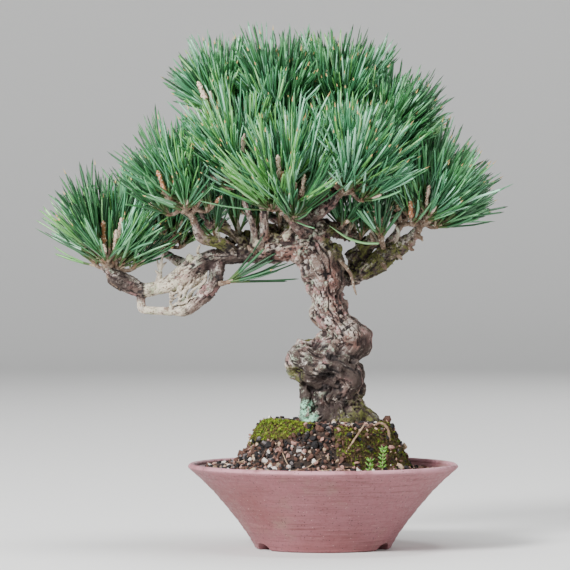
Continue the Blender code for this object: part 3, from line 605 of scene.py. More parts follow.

# %% [markdown]
# ### Unglazed clay
# The body is a dusty pink-mauve that fires unevenly. It is painted paler towards its rim and
# darker at its foot, standing in for light from above, and a painted highlight runs along the lip.
# Drawn-out stains are the streaks that the wheel leaves, iron burns through in fine dark specks,
# and there is hardly any gloss. A picture of clay could be wrapped round it, but it would stretch.

# %% The clay
clay = Finish("unglazed_clay", (0.215, 0.07, 0.072), 0.58)
clay.layers(
    (stains(24, 0.4, 0.66, 0.5), (0.27, 0.104, 0.118)),
    # painted light: paler towards the top and darker at the foot, as if lit from above
    (height(0.024, 0.042), (0.3, 0.11, 0.128)),
    (stains(30, 0.54, 0.72, 0.65, shift=4.0), (0.265, 0.15, 0.125)),
    (stains(55, 0.48, 0.7, 0.7, shift=2.0, level=26.0), (0.17, 0.054, 0.056)),
    (stains(45, 0.54, 0.76, 0.7, shift=9.0, level=34.0), (0.34, 0.15, 0.155)),
    (stains(900, 0.5, 0.75, 0.7, shift=3.0), (0.15, 0.048, 0.05)),
    # painted highlight along the rolled lip
    (height(0.0362, 0.0386), stains(90, 0.3, 0.6, shift=5.0), (0.5, 0.24, 0.28)),
    (specks(700, 0.2, 0.35), (0.06, 0.024, 0.025)),
    (specks(520, 0.12, 0.5), (0.43, 0.25, 0.24)),
)
clay.shine(stains(400, 0.3, 0.7, shift=7.0), 0.45, 0.7)
clay.relief(grain(1500, 5.0), 0.00018, 0.9)
dress(pot_mesh, [clay], ["pot"])

# %% [markdown]
# ## The ground
# The soil is a gravelly mix of fired clay, pumice and lava grit. Near the wall it lies level
# under the rim, and round the trunk it rises in a steep mound. The mound's shape is a short
# formula, the same as the one that shaped its solid, so everything can be set down on it.

# %% The height of the ground
SOIL_EDGE_Z = 0.0352
SOIL_TILT = 0.0018  # how much higher the soil lies at the left wall, and lower at the right
SOIL_TOP_Z = 0.057
MOUND_FOOT_RADIUS = 0.0412
MOUND_SHIFT = -0.0008  # to the right
MOUND_SHOULDER_RADIUS = 0.0268
APRON_RADIUS = 0.0525
APRON_SHARE = 0.2
SOIL_EDGE_RADIUS = 0.0535
RIPPLES = ((0.0012, 3, 0.7), (0.0009, 5, 2.0))  # depth, waves round the mound, start
NORMAL_STEP = 0.0005


def share_of_slope(foot, shoulder, radius):
    """How far up a slope a radius is: 0 at its foot and 1 at its shoulder."""
    return min(1.0, max(0.0, (foot - radius) / (foot - shoulder)))


def ground(radius, angle):
    """A point of the soil's surface: a steep mound with a gentle apron round it."""
    ripple = sum(depth * math.sin(waves * angle + start) for depth, waves, start in RIPPLES)
    aside = MOUND_SHIFT * math.cos(angle)
    foot = MOUND_FOOT_RADIUS + aside + ripple
    shoulder = MOUND_SHOULDER_RADIUS + aside + 1.5 * ripple
    mound = share_of_slope(foot, shoulder, radius)
    apron = share_of_slope(APRON_RADIUS, shoulder, radius)
    share = (1 - APRON_SHARE) * mound * mound * (3 - 2 * mound) + APRON_SHARE * apron
    edge = SOIL_EDGE_Z - SOIL_TILT * math.cos(angle)
    return Vector((radius * math.cos(angle), radius * math.sin(angle),
                   edge + (SOIL_TOP_Z - edge) * share))


def ground_normal(radius, angle):
    along = ground(radius + NORMAL_STEP, angle) - ground(radius - NORMAL_STEP, angle)
    turn = NORMAL_STEP / max(radius, NORMAL_STEP)
    return along.cross(ground(radius, angle + turn) - ground(radius, angle - turn)).normalized()


print("the mound stands", round(SOIL_TOP_Z - SOIL_EDGE_Z, 4), "above the edge")

# %% [markdown]
# ### Dark earth
# Between the grains lies fine dark earth. The solid of the soil has the right shape already, so
# it stays, and gets a finish of near-black brown with paler crumbs.

# %% Earth on the soil's own solid
earth = Finish("dark_earth", (0.018, 0.011, 0.008), 0.95)
earth.layers((stains(500, 0.45, 0.6, 0.8), (0.048, 0.029, 0.02)),
             (specks(1100, 0.35, 0.3), (0.13, 0.08, 0.06)))
earth.relief(grain(900), 0.0006)
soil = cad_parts["soil"]
soil.data.materials.clear()
soil.data.materials.append(earth.material)
print("the solid of the soil wears", soil.data.materials[0].name)

# %% [markdown]
# ### Grit
# Each grain is an irregular crushed stone one to three millimetres across. Its shape starts from
# a twenty-sided ball with the corners pushed in and out, then squashed and turned at random.
# Grains are scattered evenly by area and sunk by a third, and their colours are dealt out at
# random among the six kinds of stone in the mix.

# %% Where moss lies instead of grit
def eased(low, high, value):
    """0 below low, 1 above high, and a smooth step between."""
    t = min(1.0, max(0.0, (value - low) / (high - low)))
    return t * t * (3 - 2 * t)


MOSS_PATCHES = {  # degrees round the mound, radii from and to, thickness
    "moss_left": ((140, 262), (0.015, 0.034), 0.0032),
    "moss_right": ((-82, 24), (0.0255, 0.0405), 0.0022),
}
MOSS_CORNER_INSET = 0.004
MOSS_EDGE_SHARE = 0.12
MOSS_SWELL = 0.4  # the lower, the flatter the top of a cushion


def moss_share(u, v):
    """How thick a cushion is at a place of its patch, beside its full thickness."""
    swell = max(0.0, math.sin(math.pi * u) * math.sin(math.pi * v)) ** MOSS_SWELL
    return MOSS_EDGE_SHARE + (1 - MOSS_EDGE_SHARE) * swell


def moss_depth(name, radius, angle):
    """How deep a cushion of moss is over a point of the ground, or 0 outside it."""
    (start, end), (near, far), thickness = MOSS_PATCHES[name]
    v = ((math.degrees(angle) - start) % 360) / (end - start)
    inset = MOSS_CORNER_INSET * (2 * v - 1) ** 2
    u = (radius - near - inset) / (far - near - 2 * inset)
    if not (0 <= v <= 1 and 0 <= u <= 1):
        return 0.0
    return thickness * moss_share(u, v)


def moss_border(name, radius, angle):
    """1 at the ragged border of a patch of moss, falling to 0 well inside it."""
    thickness = MOSS_PATCHES[name][2]
    return 1 - eased(0.4 * thickness, 0.65 * thickness, moss_depth(name, radius, angle))


print("moss covers", list(MOSS_PATCHES))

# %% Scatter the grit
GRAIN_TRIES = 6600
GRAIN_SIZES = (0.0005, 0.00145)  # from the middle to a corner
GRAIN_COLOURS = {
    "grit_pink": ((0.43, 0.235, 0.19), 0.12),
    "grit_brown": ((0.11, 0.052, 0.036), 0.34),
    "grit_black": ((0.011, 0.009, 0.01), 0.33),
    "grit_grey": ((0.15, 0.13, 0.13), 0.09),
    "grit_tan": ((0.52, 0.37, 0.25), 0.08),
    "grit_white": ((0.78, 0.72, 0.66), 0.04),
}
GRIT_ON_MOSS = {"moss_left": 0.015, "moss_right": 0.16}  # what share of it lies on the moss
BORDER_GRIT = 0.3  # and how much more of it at the border of the moss
MOSSY_TOP = (math.radians(125), math.radians(272), 0.0185)  # from, to, out to that radius
BIG_SHARE = 0.1  # of the grains are half as big again
CRUSHED = (0.6, 1.25)  # how far a corner is pushed in or out
SQUASHED = (0.5, 1.2)
CHIP = (-0.0106, -0.033, 0.0021)  # x, y and size of a large white one in front


def on_mossy_top(radius, angle):
    """Whether a place is on the part of the mound's flat top that thin moss has covered."""
    start, end, reach = MOSSY_TOP
    return radius < reach and start < angle < end


def ball(subdivisions):
    """The corners and triangles of a round ball one across from middle to skin."""
    shape = bmesh.new()
    bmesh.ops.create_icosphere(shape, subdivisions=subdivisions, radius=1.0)
    corners = np.array([v.co[:] for v in shape.verts])
    triangles = np.array([[v.index for v in f.verts] for f in shape.faces])
    shape.free()
    return corners, triangles


def turned_at_random(rng):
    """A random turn in space, as three rows."""
    turn, _ = np.linalg.qr(rng.normal(size=(3, 3)))
    return turn


def scatter_grit():
    """All grains on the soil, with fewer on the moss, and one white chip in front."""
    rng = np.random.default_rng(7)
    corners, triangles = ball(1)
    kinds = np.array([share for _, share in GRAIN_COLOURS.values()])
    shares = kinds / kinds.sum()
    grit = Gathered()
    for _ in range(GRAIN_TRIES):
        radius = SOIL_EDGE_RADIUS * math.sqrt(rng.uniform(0.03, 1.0))
        angle = rng.uniform(0, 2 * math.pi)
        over = {name: moss_depth(name, radius, angle) for name in MOSS_PATCHES}
        covered = max(over, key=over.get)
        kept = GRIT_ON_MOSS[covered] + BORDER_GRIT * moss_border(covered, radius, angle)
        if over[covered] and rng.uniform() > kept:
            continue
        if on_mossy_top(radius, angle):
            continue
        size = rng.uniform(*GRAIN_SIZES) * (1.5 if rng.uniform() < BIG_SHARE else 1.0)
        stone = corners * rng.uniform(*CRUSHED, (len(corners), 1))
        stone = (stone * rng.uniform(*SQUASHED, 3)) @ turned_at_random(rng) * size
        lift = size * rng.uniform(0.1, 0.7) + 0.8 * over[covered]
        middle = ground(radius, angle) + ground_normal(radius, angle) * lift
        grit.add(stone + np.array(middle), triangles, rng.choice(len(kinds), p=shares))
    x, y, size = CHIP
    base = ground(math.hypot(x, y), math.atan2(y, x))
    chip = corners * rng.uniform(0.5, 1.3, (len(corners), 1)) * (0.8, 0.6, 1.1) * size
    grit.add(chip + np.array(base), triangles, len(kinds) - 1)
    return grit


grit = scatter_grit()
print("grains:", len(grit.points))

# %% Stone finishes for the grit
grit_finishes = []
for name, (colour, share) in GRAIN_COLOURS.items():
    stone = Finish(name, colour, 0.9)
    stone.layers((stains(700, 0.42, 0.68, 0.8), tuple(0.55 * c for c in colour)))
    stone.relief(grain(2600), 0.00015)
    grit_finishes.append(stone)
dress(grit.mesh("grit", smooth=False), grit_finishes)

# %% [markdown]
# ## The wood
# The trunk climbs from its root flare through two tight corkscrew turns, leans left and thins to
# a slender leader. Its points are the same as those of the solid. To get one skin without seams,
# overlapping balls along the routes are fused by a voxel remesh, which copes with any branching,
# while joining tubes by Booleans would leave hard creases.

# %% The trunk and its roots
TRUNK_ROUTE = metres((
    (10, 0, 52, 14), (8.3, 0, 63, 10.8), (4.5, -0.5, 70, 9.8), (10, -3, 78.5, 10),
    (1, -4.5, 83, 11), (-7, -1.5, 85.5, 10.2), (-1, 4, 89, 10), (11.5, 1.5, 94.5, 9.9),
    (8, 1, 102, 8.8), (2.5, 1, 110.5, 8.5), (1.4, 0, 119, 8.7), (0.7, -1, 127, 8.8),
    (-1.8, -2, 133.5, 9.2), (-5, -1.5, 140, 7.8), (-6, 0, 148, 5.8), (-7.5, 2, 159, 4.7),
    (-10.5, 3, 172, 3.8), (-12.5, 2, 183, 3), (-15, 0, 190, 2.3),
))
ROOTS = metres((
    ((6, -2, 66, 5.2), (-4, -5, 56, 5.2)), ((10, 0, 64, 7.5), (22, -3, 56, 5.5)),
    ((10, 2, 63, 7), (17, 13, 55, 5)), ((8, 3, 63, 6.5), (-1, 12, 55, 4.8)),
    ((9, -3, 62, 6), (11, -14, 55, 4.2)), ((-7.8, -2.5, 78.5, 3), (-7.4, -4.2, 55.5, 3.6)),
))
print("the trunk has", len(TRUNK_ROUTE), "points and", len(ROOTS), "roots")

# %% [markdown]
# ### The boughs
# Seventeen limbs leave the trunk or one another. The long left bough wavers out past a loop of
# old deadwood, and the others carry the crown on all sides. Each is a row of points with a
# thickness, again the same as those of its solid.

# %% The boughs, each from its first point outwards
BOUGHS = metres({
    "left_bough": ((-6, -2, 139.5, 7), (-15.2, -3, 138.9, 6.8), (-26.7, -3.5, 136.6, 5.8),
        (-38.2, -3, 135, 4.2), (-49.7, -2.5, 133.6, 4), (-59, -2, 129, 5.2), (-66.5, -2, 123.6, 5),
        (-75, -2, 120.1, 3.4), (-84.2, -2, 118.7, 3.6), (-93.4, -2.5, 122.5, 3.4)),
    "left_loop_limb": ((-48.3, -2.5, 131, 3.6), (-50.1, -4, 121.9, 3.6), (-55.5, -3.5, 115.5, 3.4),
        (-63, -3, 109.8, 3), (-68, -3, 109.1, 2.4)),
    "left_loop_end": ((-66.5, -3, 109.2, 2.3), (-73, -3, 109.1, 2), (-79.6, -3, 109.4, 1.9),
        (-83.2, -2.8, 110.4, 2.1), (-83.6, -2.4, 116, 2)),
    "left_mid_bough": ((-40, -3, 135, 3), (-46.5, -8, 140.3, 2.8), (-55.2, -11.5, 142.5, 2.4),
        (-59, -13.5, 150, 1.8)),
    "left_back_bough": ((-59, -2, 129, 3.4), (-65.5, 10, 131, 2.7), (-71.5, 21, 134.5, 1.9)),
    "front_left_bough": ((-27.5, -4, 137, 3.2), (-26.8, -8.5, 148, 2.1), (-28, -12, 158, 1.8),
        (-31.5, -15, 164, 1.5)),
    "bare_snag": ((-32.5, -4.5, 137, 2), (-31.8, -9.5, 146, 1.6), (-34, -11.5, 153.5, 1.3),
        (-36.5, -12, 160.5, 1)),
    "right_bough": ((3, 4, 127, 4), (11.5, 7.5, 124.5, 3.6), (16.5, 7, 125.5, 3.4),
        (21.6, 4, 130.6, 3.5), (28.5, 1, 136.2, 3.6), (34.5, -2, 138.9, 3.2),
        (40, -4.5, 142.6, 2.7), (43.5, -6, 146.5, 2.1)),
    "right_back_bough": ((21.6, 4, 130.6, 2.8), (29, 17, 138.5, 2.2), (35, 27, 146, 1.6)),
    "front_bough": ((-6, -1, 145, 4.2), (-11, -13, 148, 3.2), (-15.5, -21, 152, 2)),
    "front_right_bough": ((-6.5, 0, 151, 3.4), (1, -11, 156, 2.5), (7, -19, 162, 1.7)),
    "right_upper_bough": ((-7, 1, 156, 3.4), (5, 3, 165, 2.7), (13, 1, 173.5, 2.2),
        (19.5, -2, 179, 1.7)),
    "back_left_bough": ((-6, 1, 145, 3.8), (-18, 20, 150, 2.8), (-31, 36, 156, 1.8)),
    "back_right_bough": ((-6.8, 1.5, 153, 3.2), (4, 19.5, 157.5, 2.6), (13.5, 34, 163.5, 1.8)),
    "upper_left_bough": ((-9.5, 2.5, 168, 3.2), (-20, 3, 179, 2.6), (-32, 1.5, 191, 2),
        (-40, 0, 196, 1.6)),
    "back_top_bough": ((-11, 2.5, 174.5, 2.8), (-10.5, 14.5, 184, 2.2), (-9.5, 22, 189, 1.6)),
    "top_right_bough": ((-12.2, 2.2, 181.5, 2.5), (-5, 1.5, 189, 2.1), (2.5, 0, 193.5, 1.6)),
})
print("boughs:", len(BOUGHS))

# %% [markdown]
# ### One skin over many balls
# Balls that overlap by most of their width look like a rod. The remesh walks over them at a fixed
# spacing and leaves an even skin of small squares, fine enough to carry the bark's own relief.
# Old knobs and pruning scars are extra balls on the wood.

# %% Fuse rods into a skin
TRUNK_VOXEL = 0.00042
BOUGH_VOXEL = 0.00048
GROUND_CUT = 0.0562  # the wood ends just inside the soil
BALL_STEP = 0.22  # how far apart balls are, beside their radius
LEAST_STEP = 0.0006
KNOBS = metres((  # (x, y, z, radius) of old scars, knuckles and swellings
    (-16.5, -7, 142.5, 3.8), (-29.5, -6.5, 139.5, 3.4), (-23, -4, 142.5, 3.6), (-11, -6, 135, 4),
    (-61, -3, 132.5, 3), (-56, -4.5, 133, 2.8), (-74, -3, 122.2, 2.2), (5, -4.5, 137, 3.6),
    (3, -6, 122.5, 4), (-1, -5, 144.5, 4.6),
))
HUMPS = metres({  # old wood knitted together under the crown, mostly hidden by moss
    "left": ((-46.5, 1, 137.5, 2.6), (-40, 4, 141.5, 3.6), (-33, 3, 142.5, 3.4),
        (-25, 5, 144.5, 4.4), (-17, 4.5, 145.5, 4.4), (-8, 3, 146, 5)),
    "lower_left": ((-35, 5, 137, 3.4), (-26, 6, 139, 4), (-15, 5, 140, 4.6), (-5, 4, 140, 5)),
    "left_upper": ((-35, -3, 139, 3), (-41.5, -5.5, 144.5, 2.3), (-47.5, -7.5, 149, 2.1),
        (-53, -10, 150.5, 1.9), (-56, -12, 156, 1.5)),
    "crown": ((-6, 2, 145, 5), (0, 3, 147, 4.6), (7, 5, 146.5, 4), (12, 7, 144, 3)),
    "saddle": ((8.5, 5.5, 145, 3.4), (13, 6.2, 143.2, 3.1), (18, 5.6, 142.2, 3.1),
        (22.5, 3.6, 141.8, 3.4)),
    "right": ((12.5, 6, 123.5, 3.6), (15, 6.5, 129, 4), (16.5, 6.5, 135, 4.2), (20, 5, 140, 4),
        (24.5, 2, 142, 3.4)),
    "lower_right": ((15, 5, 124.5, 3.8), (21.5, 2.5, 128.5, 4.2), (28, 0, 133.5, 4.2),
        (34.5, -2.5, 137.5, 3.8), (40, -4.5, 141.5, 3.2)),
    "left_end": ((-85, -2, 119.5, 3.8), (-91, -2.5, 122.2, 4.4), (-96.5, -3, 126, 4),
        (-98.5, -3, 129, 2.6)),
})


def balls_along(gathered, route, shape):
    """Adds a row of overlapping balls along a route."""
    corners, triangles = shape
    for a, b in zip(route, route[1:]):
        step = max(LEAST_STEP, BALL_STEP * min(a[3], b[3]))
        count = max(1, math.ceil(np.linalg.norm(b[:3] - a[:3]) / step))
        for t in np.arange(count) / count:
            point = a + (b - a) * t
            gathered.add(corners * point[3] + point[:3], triangles)


def fused(gathered, voxel):
    """One even skin over everything gathered, as a mesh."""
    rough = placed("rough", gathered.mesh("rough"))
    skin = rough.modifiers.new("skin", "REMESH")
    skin.mode = "VOXEL"
    skin.voxel_size = voxel
    mesh = applied(rough)
    bpy.data.objects.remove(rough, do_unlink=True)
    return mesh


trunk_routes = {"trunk": smooth_route(TRUNK_ROUTE, 6)}
trunk_routes |= {f"root_{n}": smooth_route(root, 6) for n, root in enumerate(ROOTS)}
bough_routes = {name: smooth_route(knots, 6) for name, knots in BOUGHS.items()}


def smooth_wood(routes, shape, voxel, knobs=()):
    """Limbs along the routes, with their knobs, as one skin."""
    wood = Gathered()
    for route in routes.values():
        balls_along(wood, route, shape)
    for x, y, z, radius in knobs:
        wood.add(shape[0] * radius + (x, y, z), shape[1])
    return fused(wood, voxel)


trunk_mesh = smooth_wood(trunk_routes, ball(3), TRUNK_VOXEL)
hump_routes = {f"hump_{name}": smooth_route(knots, 6) for name, knots in HUMPS.items()}
boughs_mesh = smooth_wood(bough_routes | hump_routes, ball(2), BOUGH_VOXEL, KNOBS)
print("squares in the smooth wood:", len(trunk_mesh.polygons), len(boughs_mesh.polygons))

# %% [markdown]
# ### Plates and fissures
# Old black pine bark splits into thick corky plates with dark cracks between them, longer up the
# stem than across it, and smaller on thin limbs. A Voronoi pattern gives such plates. To make it
# follow the twists, each point is first written as a turn round the nearest limb and a distance
# along it, as if every limb were pulled straight. Noise then bends the plates out of order.

# %% Straighten every limb
def limb_stations():
    """Points along all limbs: place, radius, distance along, and the axes of the limb there."""
    rows = []
    for number, route in enumerate([*trunk_routes.values(), *bough_routes.values()]):
        ways, sides, ups = axes_along(route[:, :3])
        gaps = np.linalg.norm(np.diff(route[:, :3], axis=0), axis=1)
        along = np.concatenate([[0.0], np.cumsum(gaps)])
        for place, side, up, s in zip(route, sides, ups, along):
            rows.append((Vector(place[:3]), place[3], s, Vector(side), Vector(up), number))
    return rows


stations = limb_stations()
finder = kdtree.KDTree(len(stations))
for index, station in enumerate(stations):
    finder.insert(station[0], index)
finder.balance()


def nearest_station(point):
    """The limb that a point of the skin belongs to: the one whose own surface is nearest."""
    near = finder.find_n(point, 10)
    return stations[min(near, key=lambda hit: hit[2] - stations[hit[1]][1])[1]]


print("stations along the wood:", len(stations))

# %% [markdown]
# ### The relief at one point
# Each plate of bark sits at its own height and tips its own way, so that one edge lifts like a
# shingle. Small flakes lie on the plates, burls swell the wood below them, and on the trunk a few
# deep folds run across. All of it fades on thin limbs and where the wood is worn bare.

# %% Places where the bark is special
SCARS = metres((  # (x, y, z, reach) of spots where the wood is worn bare
    (-17.5, -11.5, 143.5, 4.5), (-30, -10.5, 140, 4.2), (-61, -6, 134.5, 4.5), (22, -4, 130, 3),
))
RING_AT = -0.0828  # a dark ring round the left bough, where its smooth part ends
CLEFTS = metres((  # deep places between the turns of the trunk, painted dark there as shade
    (-4.2, -6, 74, 3.6), (-3.2, -7.8, 69, 3.4), (-2.4, -9, 64, 3.2), (-1.2, -10, 59, 3.2),
    (4.5, -15, 81.5, 4.4), (1, -15, 80, 4), (-1, -14, 77.5, 3.4), (3.2, -11.5, 88.5, 4.2),
    (7.5, -10, 90, 3.6), (-4, -4.5, 95, 4), (-18.5, -2, 79, 3.6), (11.5, -7, 85, 3.4),
))
MINT_SPOTS = metres(((-8, -6.8, 64, 6), (-6, -6.5, 60, 5)))
DARK_SPOTS = metres((  # where the bark of the boughs is painted dark as shade
    (18, 0, 129, 20), (30, -2, 137, 16), (-33, -5, 133, 16), (-47, -5, 130, 15),
    (-92, -3, 122, 13), (-5, 6, 140, 13), (11, -5, 137, 9), (19, -4, 93, 7),
))
CLOUD_SIZE = 0.008
RUSSET_SPOTS = metres((  # where young bark shows red-brown between the old plates
    (-23, -8, 138, 10), (-14, -8, 137, 10), (6, -10, 125, 11), (7, -10, 112, 10), (14, -10, 96, 7),
))
GREY_FLAKES = metres((  # where weathered flakes still hang on the trunk's left side
    (-6.2, -6.5, 119.5, 7.2), (-3.5, -8.5, 112, 6.8), (1, -9, 104.5, 6.4), (4.5, -8.5, 97, 5.6),
    (-15.5, -5, 85.5, 6.4), (-16, -3, 79.5, 5.2),
))


def near_place(point, spot):
    """1 at the middle of a spot, falling to 0 at its reach."""
    *place, reach = spot
    return 1 - eased(0.4 * reach, reach, (point - Vector(place)).length)


def in_spots(point, spots):
    """How far a point is inside any of the spots."""
    return max(near_place(point, spot) for spot in spots)


def pale_share(point):
    """How far the bark is worn to smooth pale wood, as on the outer part of the left bough."""
    bough = (1 - eased(-0.068, -0.058, point.x)) * (1 - eased(0.128, 0.133, point.z))
    bough *= max(eased(RING_AT, RING_AT + 0.0015, point.x), 1 - eased(0.112, 0.115, point.z))
    return max(bough, in_spots(point, SCARS))


def shaded(point, flaky):
    """How far the bark is painted dark as shade, as on the lower turns and inside forks."""
    low = 1 - eased(0.082, 0.1, point.z)
    damp = max(low, 0.8 * in_spots(point, DARK_SPOTS))
    cloud = eased(-0.45, 0.0, noise.noise(point / CLOUD_SIZE + Vector((7.0, 3.0, 1.0))))
    return 0.92 * damp * cloud * (1 - flaky)


print("the lower turns are in shade by", round(shaded(Vector((0.0, 0.0, 0.075)), 0.0), 2))

# %% [markdown]
# ### Heights of plates, folds and lumps
# Plates, lumps, folds and fine grain each have a depth and a noise of their own size, because the
# real bark is rough at all these sizes at once. One noise alone would look like crumpled paper.

# %% Work out the relief of the bark
BARK_SEED = 2  # without it, the noise vectors that warp the plates would differ each time
PLATE_STRETCH = 0.6  # distances along a limb shrink by this, so that its plates grow longer
PLATE_DEPTH = 0.0015
LUMP_DEPTH = 0.0024
HOLLOW_DEPTH = 0.0022
GAPE_SIZE, LUMP_SIZE, HOLLOW_SIZE = 0.006, 0.0085, 0.0088  # how broad each noise is
FINE_SIZE, CRUST_SIZE = 0.0011, 0.0021
FULL_GIRTH = 0.006  # wood of this radius or more carries the full lumps
CLEFT_DEPTH = 0.0016
CRUST_DEPTH = 0.0017


def plates_at(spot, crack_width):
    """(height, crack, lot) of one layer of plates at a spot of the straightened limb."""
    gaps, corners = noise.voronoi(spot)
    lot = noise.cell_vector(corners[0] * 7.3)
    tip = (spot - corners[0]).dot(lot - Vector((0.5, 0.5, 0.5)))
    crack = 1 - eased(0.0, crack_width, gaps[1] - gaps[0])
    return (lot.x - 0.5) + 1.5 * tip, crack, lot


def bark_at(point):
    """(height in metres, crack, tone, flush) of the bark at one point of the smooth wood."""
    place, radius, along, side, up, number = nearest_station(point)
    off = point - place
    size = 0.0022 + 0.27 * radius
    spot = Vector((off.dot(side), off.dot(up), along * PLATE_STRETCH)) / size
    spot += Vector((3.7, 1.3, 0.0)) * number
    spot += noise.noise_vector(spot * 0.5) * 0.8 + noise.noise_vector(spot * 1.6) * 0.25
    gape = eased(-0.15, 0.4, noise.noise(point / GAPE_SIZE))
    plate, crack, lot = plates_at(spot, 0.03 + 0.14 * gape)
    flake, chip, small_lot = plates_at(spot * 2.2, 0.02 + 0.09 * gape)
    lump = noise.fractal(point / LUMP_SIZE, 1.0, 2.0, 2)
    fine = noise.fractal(point / FINE_SIZE, 0.8, 2.1, 3)
    reach = max(radius, off.length)
    thick = eased(0.0025, 0.0085, reach)
    worn = 1 - pale_share(point)
    cleft = in_spots(point, CLEFTS)
    fold = noise.noise(point / HOLLOW_SIZE + Vector((4.1, 0.0, 2.2)))
    hollow = thick * worn * eased(0.14, 0.5, fold)
    deep = min(PLATE_DEPTH, 0.16 * reach + 0.0002) * (0.25 + 0.75 * worn)
    height = deep * (0.95 * plate - 0.6 * crack + 0.3 * flake - 0.18 * chip)
    lumpy = (0.2 + 0.8 * thick) * LUMP_DEPTH * (0.3 + 0.7 * worn)
    height += lumpy * lump * min(1.0, reach / FULL_GIRTH)
    height += 0.0001 * fine - HOLLOW_DEPTH * hollow - CLEFT_DEPTH * cleft
    crust = in_spots(point, MINT_SPOTS)
    height += CRUST_DEPTH * crust * noise.fractal(point / CRUST_SIZE, 0.7, 2.0, 2)
    ring = 0.8 * math.exp(-((point.x - RING_AT) / 0.0006) ** 2) if point.z > 0.115 else 0.0
    # in the clefts the cracks' near-black colour is painted shade
    crack = min(1.0, (crack + 0.35 * chip) * (0.25 + 0.75 * worn) + ring + 0.6 * cleft)
    return height, crack, 0.6 * lot.z + 0.4 * small_lot.z, eased(0.62, 0.74, lot.y)


noise.seed_set(BARK_SEED)
print("bark on the trunk at its foot:", bark_at(Vector((0.019, 0.0, 0.06))))

# %% [markdown]
# ### Raise the bark
# Every point of the skin moves along its normal by that height. What the finish will need, such
# as how deep in a crack the point lies, is stored with it as a named attribute, so that colour
# and relief always agree.

# %% Raise the bark and remember its colours
GREEN_SPOTS = metres((  # where algae tints the damp forks
    (21, -6, 60, 15), (8, -14, 58, 9), (-20, 3, 147, 16), (-48, -11, 143, 10), (6, -4, 142, 12),
    (20, 1, 133, 15), (32, -3, 136, 14), (15, -3, 65, 9), (-36, 2, 143, 13), (-6, 4, 100, 8),
    (-13, -6, 80, 7),
))
WEATHERED_AND_LIT_SIDE = Vector((-0.62, -0.3, 0.72))  # the side that light and rain have bleached; it faces the key light, so its paler colour is partly painted light
FINE_ROUNDS = 8
BROAD_ROUNDS = 70
CAVITY_DEPTH = 0.00016
RIDGE_HEIGHTS = (0.00003, 0.00014)  # where a ridge starts, and how much more is a full one
HOLLOW_FULL = 0.0007


def smoothed(places, edges, rounds):
    """The points after so many rounds of moving each halfway to the middle of its neighbours."""
    count = len(places)
    degree = np.bincount(edges.ravel(), minlength=count)[:, None]
    for _ in range(rounds):
        total = np.stack([
            np.bincount(edges[:, 0], places[edges[:, 1], k], count)
            + np.bincount(edges[:, 1], places[edges[:, 0], k], count) for k in range(3)], axis=1)
        places = 0.5 * places + 0.5 * total / degree
    return places


def store(mesh, name, values):
    """Keeps one number for each point of a mesh under a name that a finish can read."""
    mesh.attributes.new(name, "FLOAT", "POINT").data.foreach_set("value", values)


def marks_at(vert, point):
    """How far the bark moves out at a point of the skin, and what the finish needs to know."""
    height, crack, tone, flush = bark_at(point)
    flaky = in_spots(point, GREY_FLAKES)
    return height, {
        "crack": crack, "tone": tone, "flush": flush, "shade": shaded(point, flaky),
        "russet": in_spots(point, RUSSET_SPOTS), "pale": pale_share(point),
        "green": in_spots(point, GREEN_SPOTS), "mint": in_spots(point, MINT_SPOTS),
        "weather": max(flaky, eased(-0.1, 0.7, vert.normal.dot(WEATHERED_AND_LIT_SIDE))),
    }


def raise_bark(mesh):
    """Moves each point of the skin in or out, and stores its marks."""
    shift = Vector(AXIS)
    places, marks = [], []
    for vert in mesh.vertices:
        height, mark = marks_at(vert, vert.co - shift)
        places.append(vert.co + vert.normal * height)
        marks.append(mark)
    places = np.array(places)
    mesh.vertices.foreach_set("co", places.ravel())
    mesh.update()
    for name in marks[0]:
        store(mesh, name, [mark[name] for mark in marks])
    store_hollows(mesh, places)


def store_hollows(mesh, places):
    """Measures how far each point lies below or above the skin around it, at two scales, for the
    painted shade in cavities and hollows and the painted highlight on ridges.
    """
    edges = np.zeros(2 * len(mesh.edges), int)
    mesh.edges.foreach_get("vertices", edges)
    normals = np.zeros(3 * len(places))
    mesh.vertices.foreach_get("normal", normals)
    edges, normals = edges.reshape(-1, 2), normals.reshape(-1, 3)
    near = ((smoothed(places, edges, FINE_ROUNDS) - places) * normals).sum(1)
    wide = ((smoothed(places, edges, BROAD_ROUNDS) - places) * normals).sum(1)
    from_height, more = RIDGE_HEIGHTS
    store(mesh, "cavity_shade", np.clip(near / CAVITY_DEPTH, 0.0, 1.0))
    store(mesh, "ridge", np.clip((-near - from_height) / more, 0.0, 1.0))
    store(mesh, "hollow", np.clip(wide / HOLLOW_FULL, 0.0, 1.0))
    print(mesh.name, "is", round(1000 * float(wide.max()), 2), "mm deep at most")


def cut_at_ground(mesh):
    """Cuts the foot of the wood off flat, just inside the soil."""
    work = bmesh.new()
    work.from_mesh(mesh)
    cut = bmesh.ops.bisect_plane(
        work, geom=[*work.verts, *work.edges, *work.faces], plane_co=(0, 0, GROUND_CUT),
        plane_no=(0, 0, -1), clear_outer=True)
    rim = [e for e in cut["geom_cut"] if isinstance(e, bmesh.types.BMEdge)]
    bmesh.ops.holes_fill(work, edges=rim, sides=0)
    work.to_mesh(mesh)
    work.free()


for name, mesh in (("bark_trunk", trunk_mesh), ("bark_boughs", boughs_mesh)):
    mesh.name = name
    raise_bark(mesh)
    mesh.shade_smooth()
cut_at_ground(trunk_mesh)
print("squares of bark:", len(trunk_mesh.polygons), len(boughs_mesh.polygons))
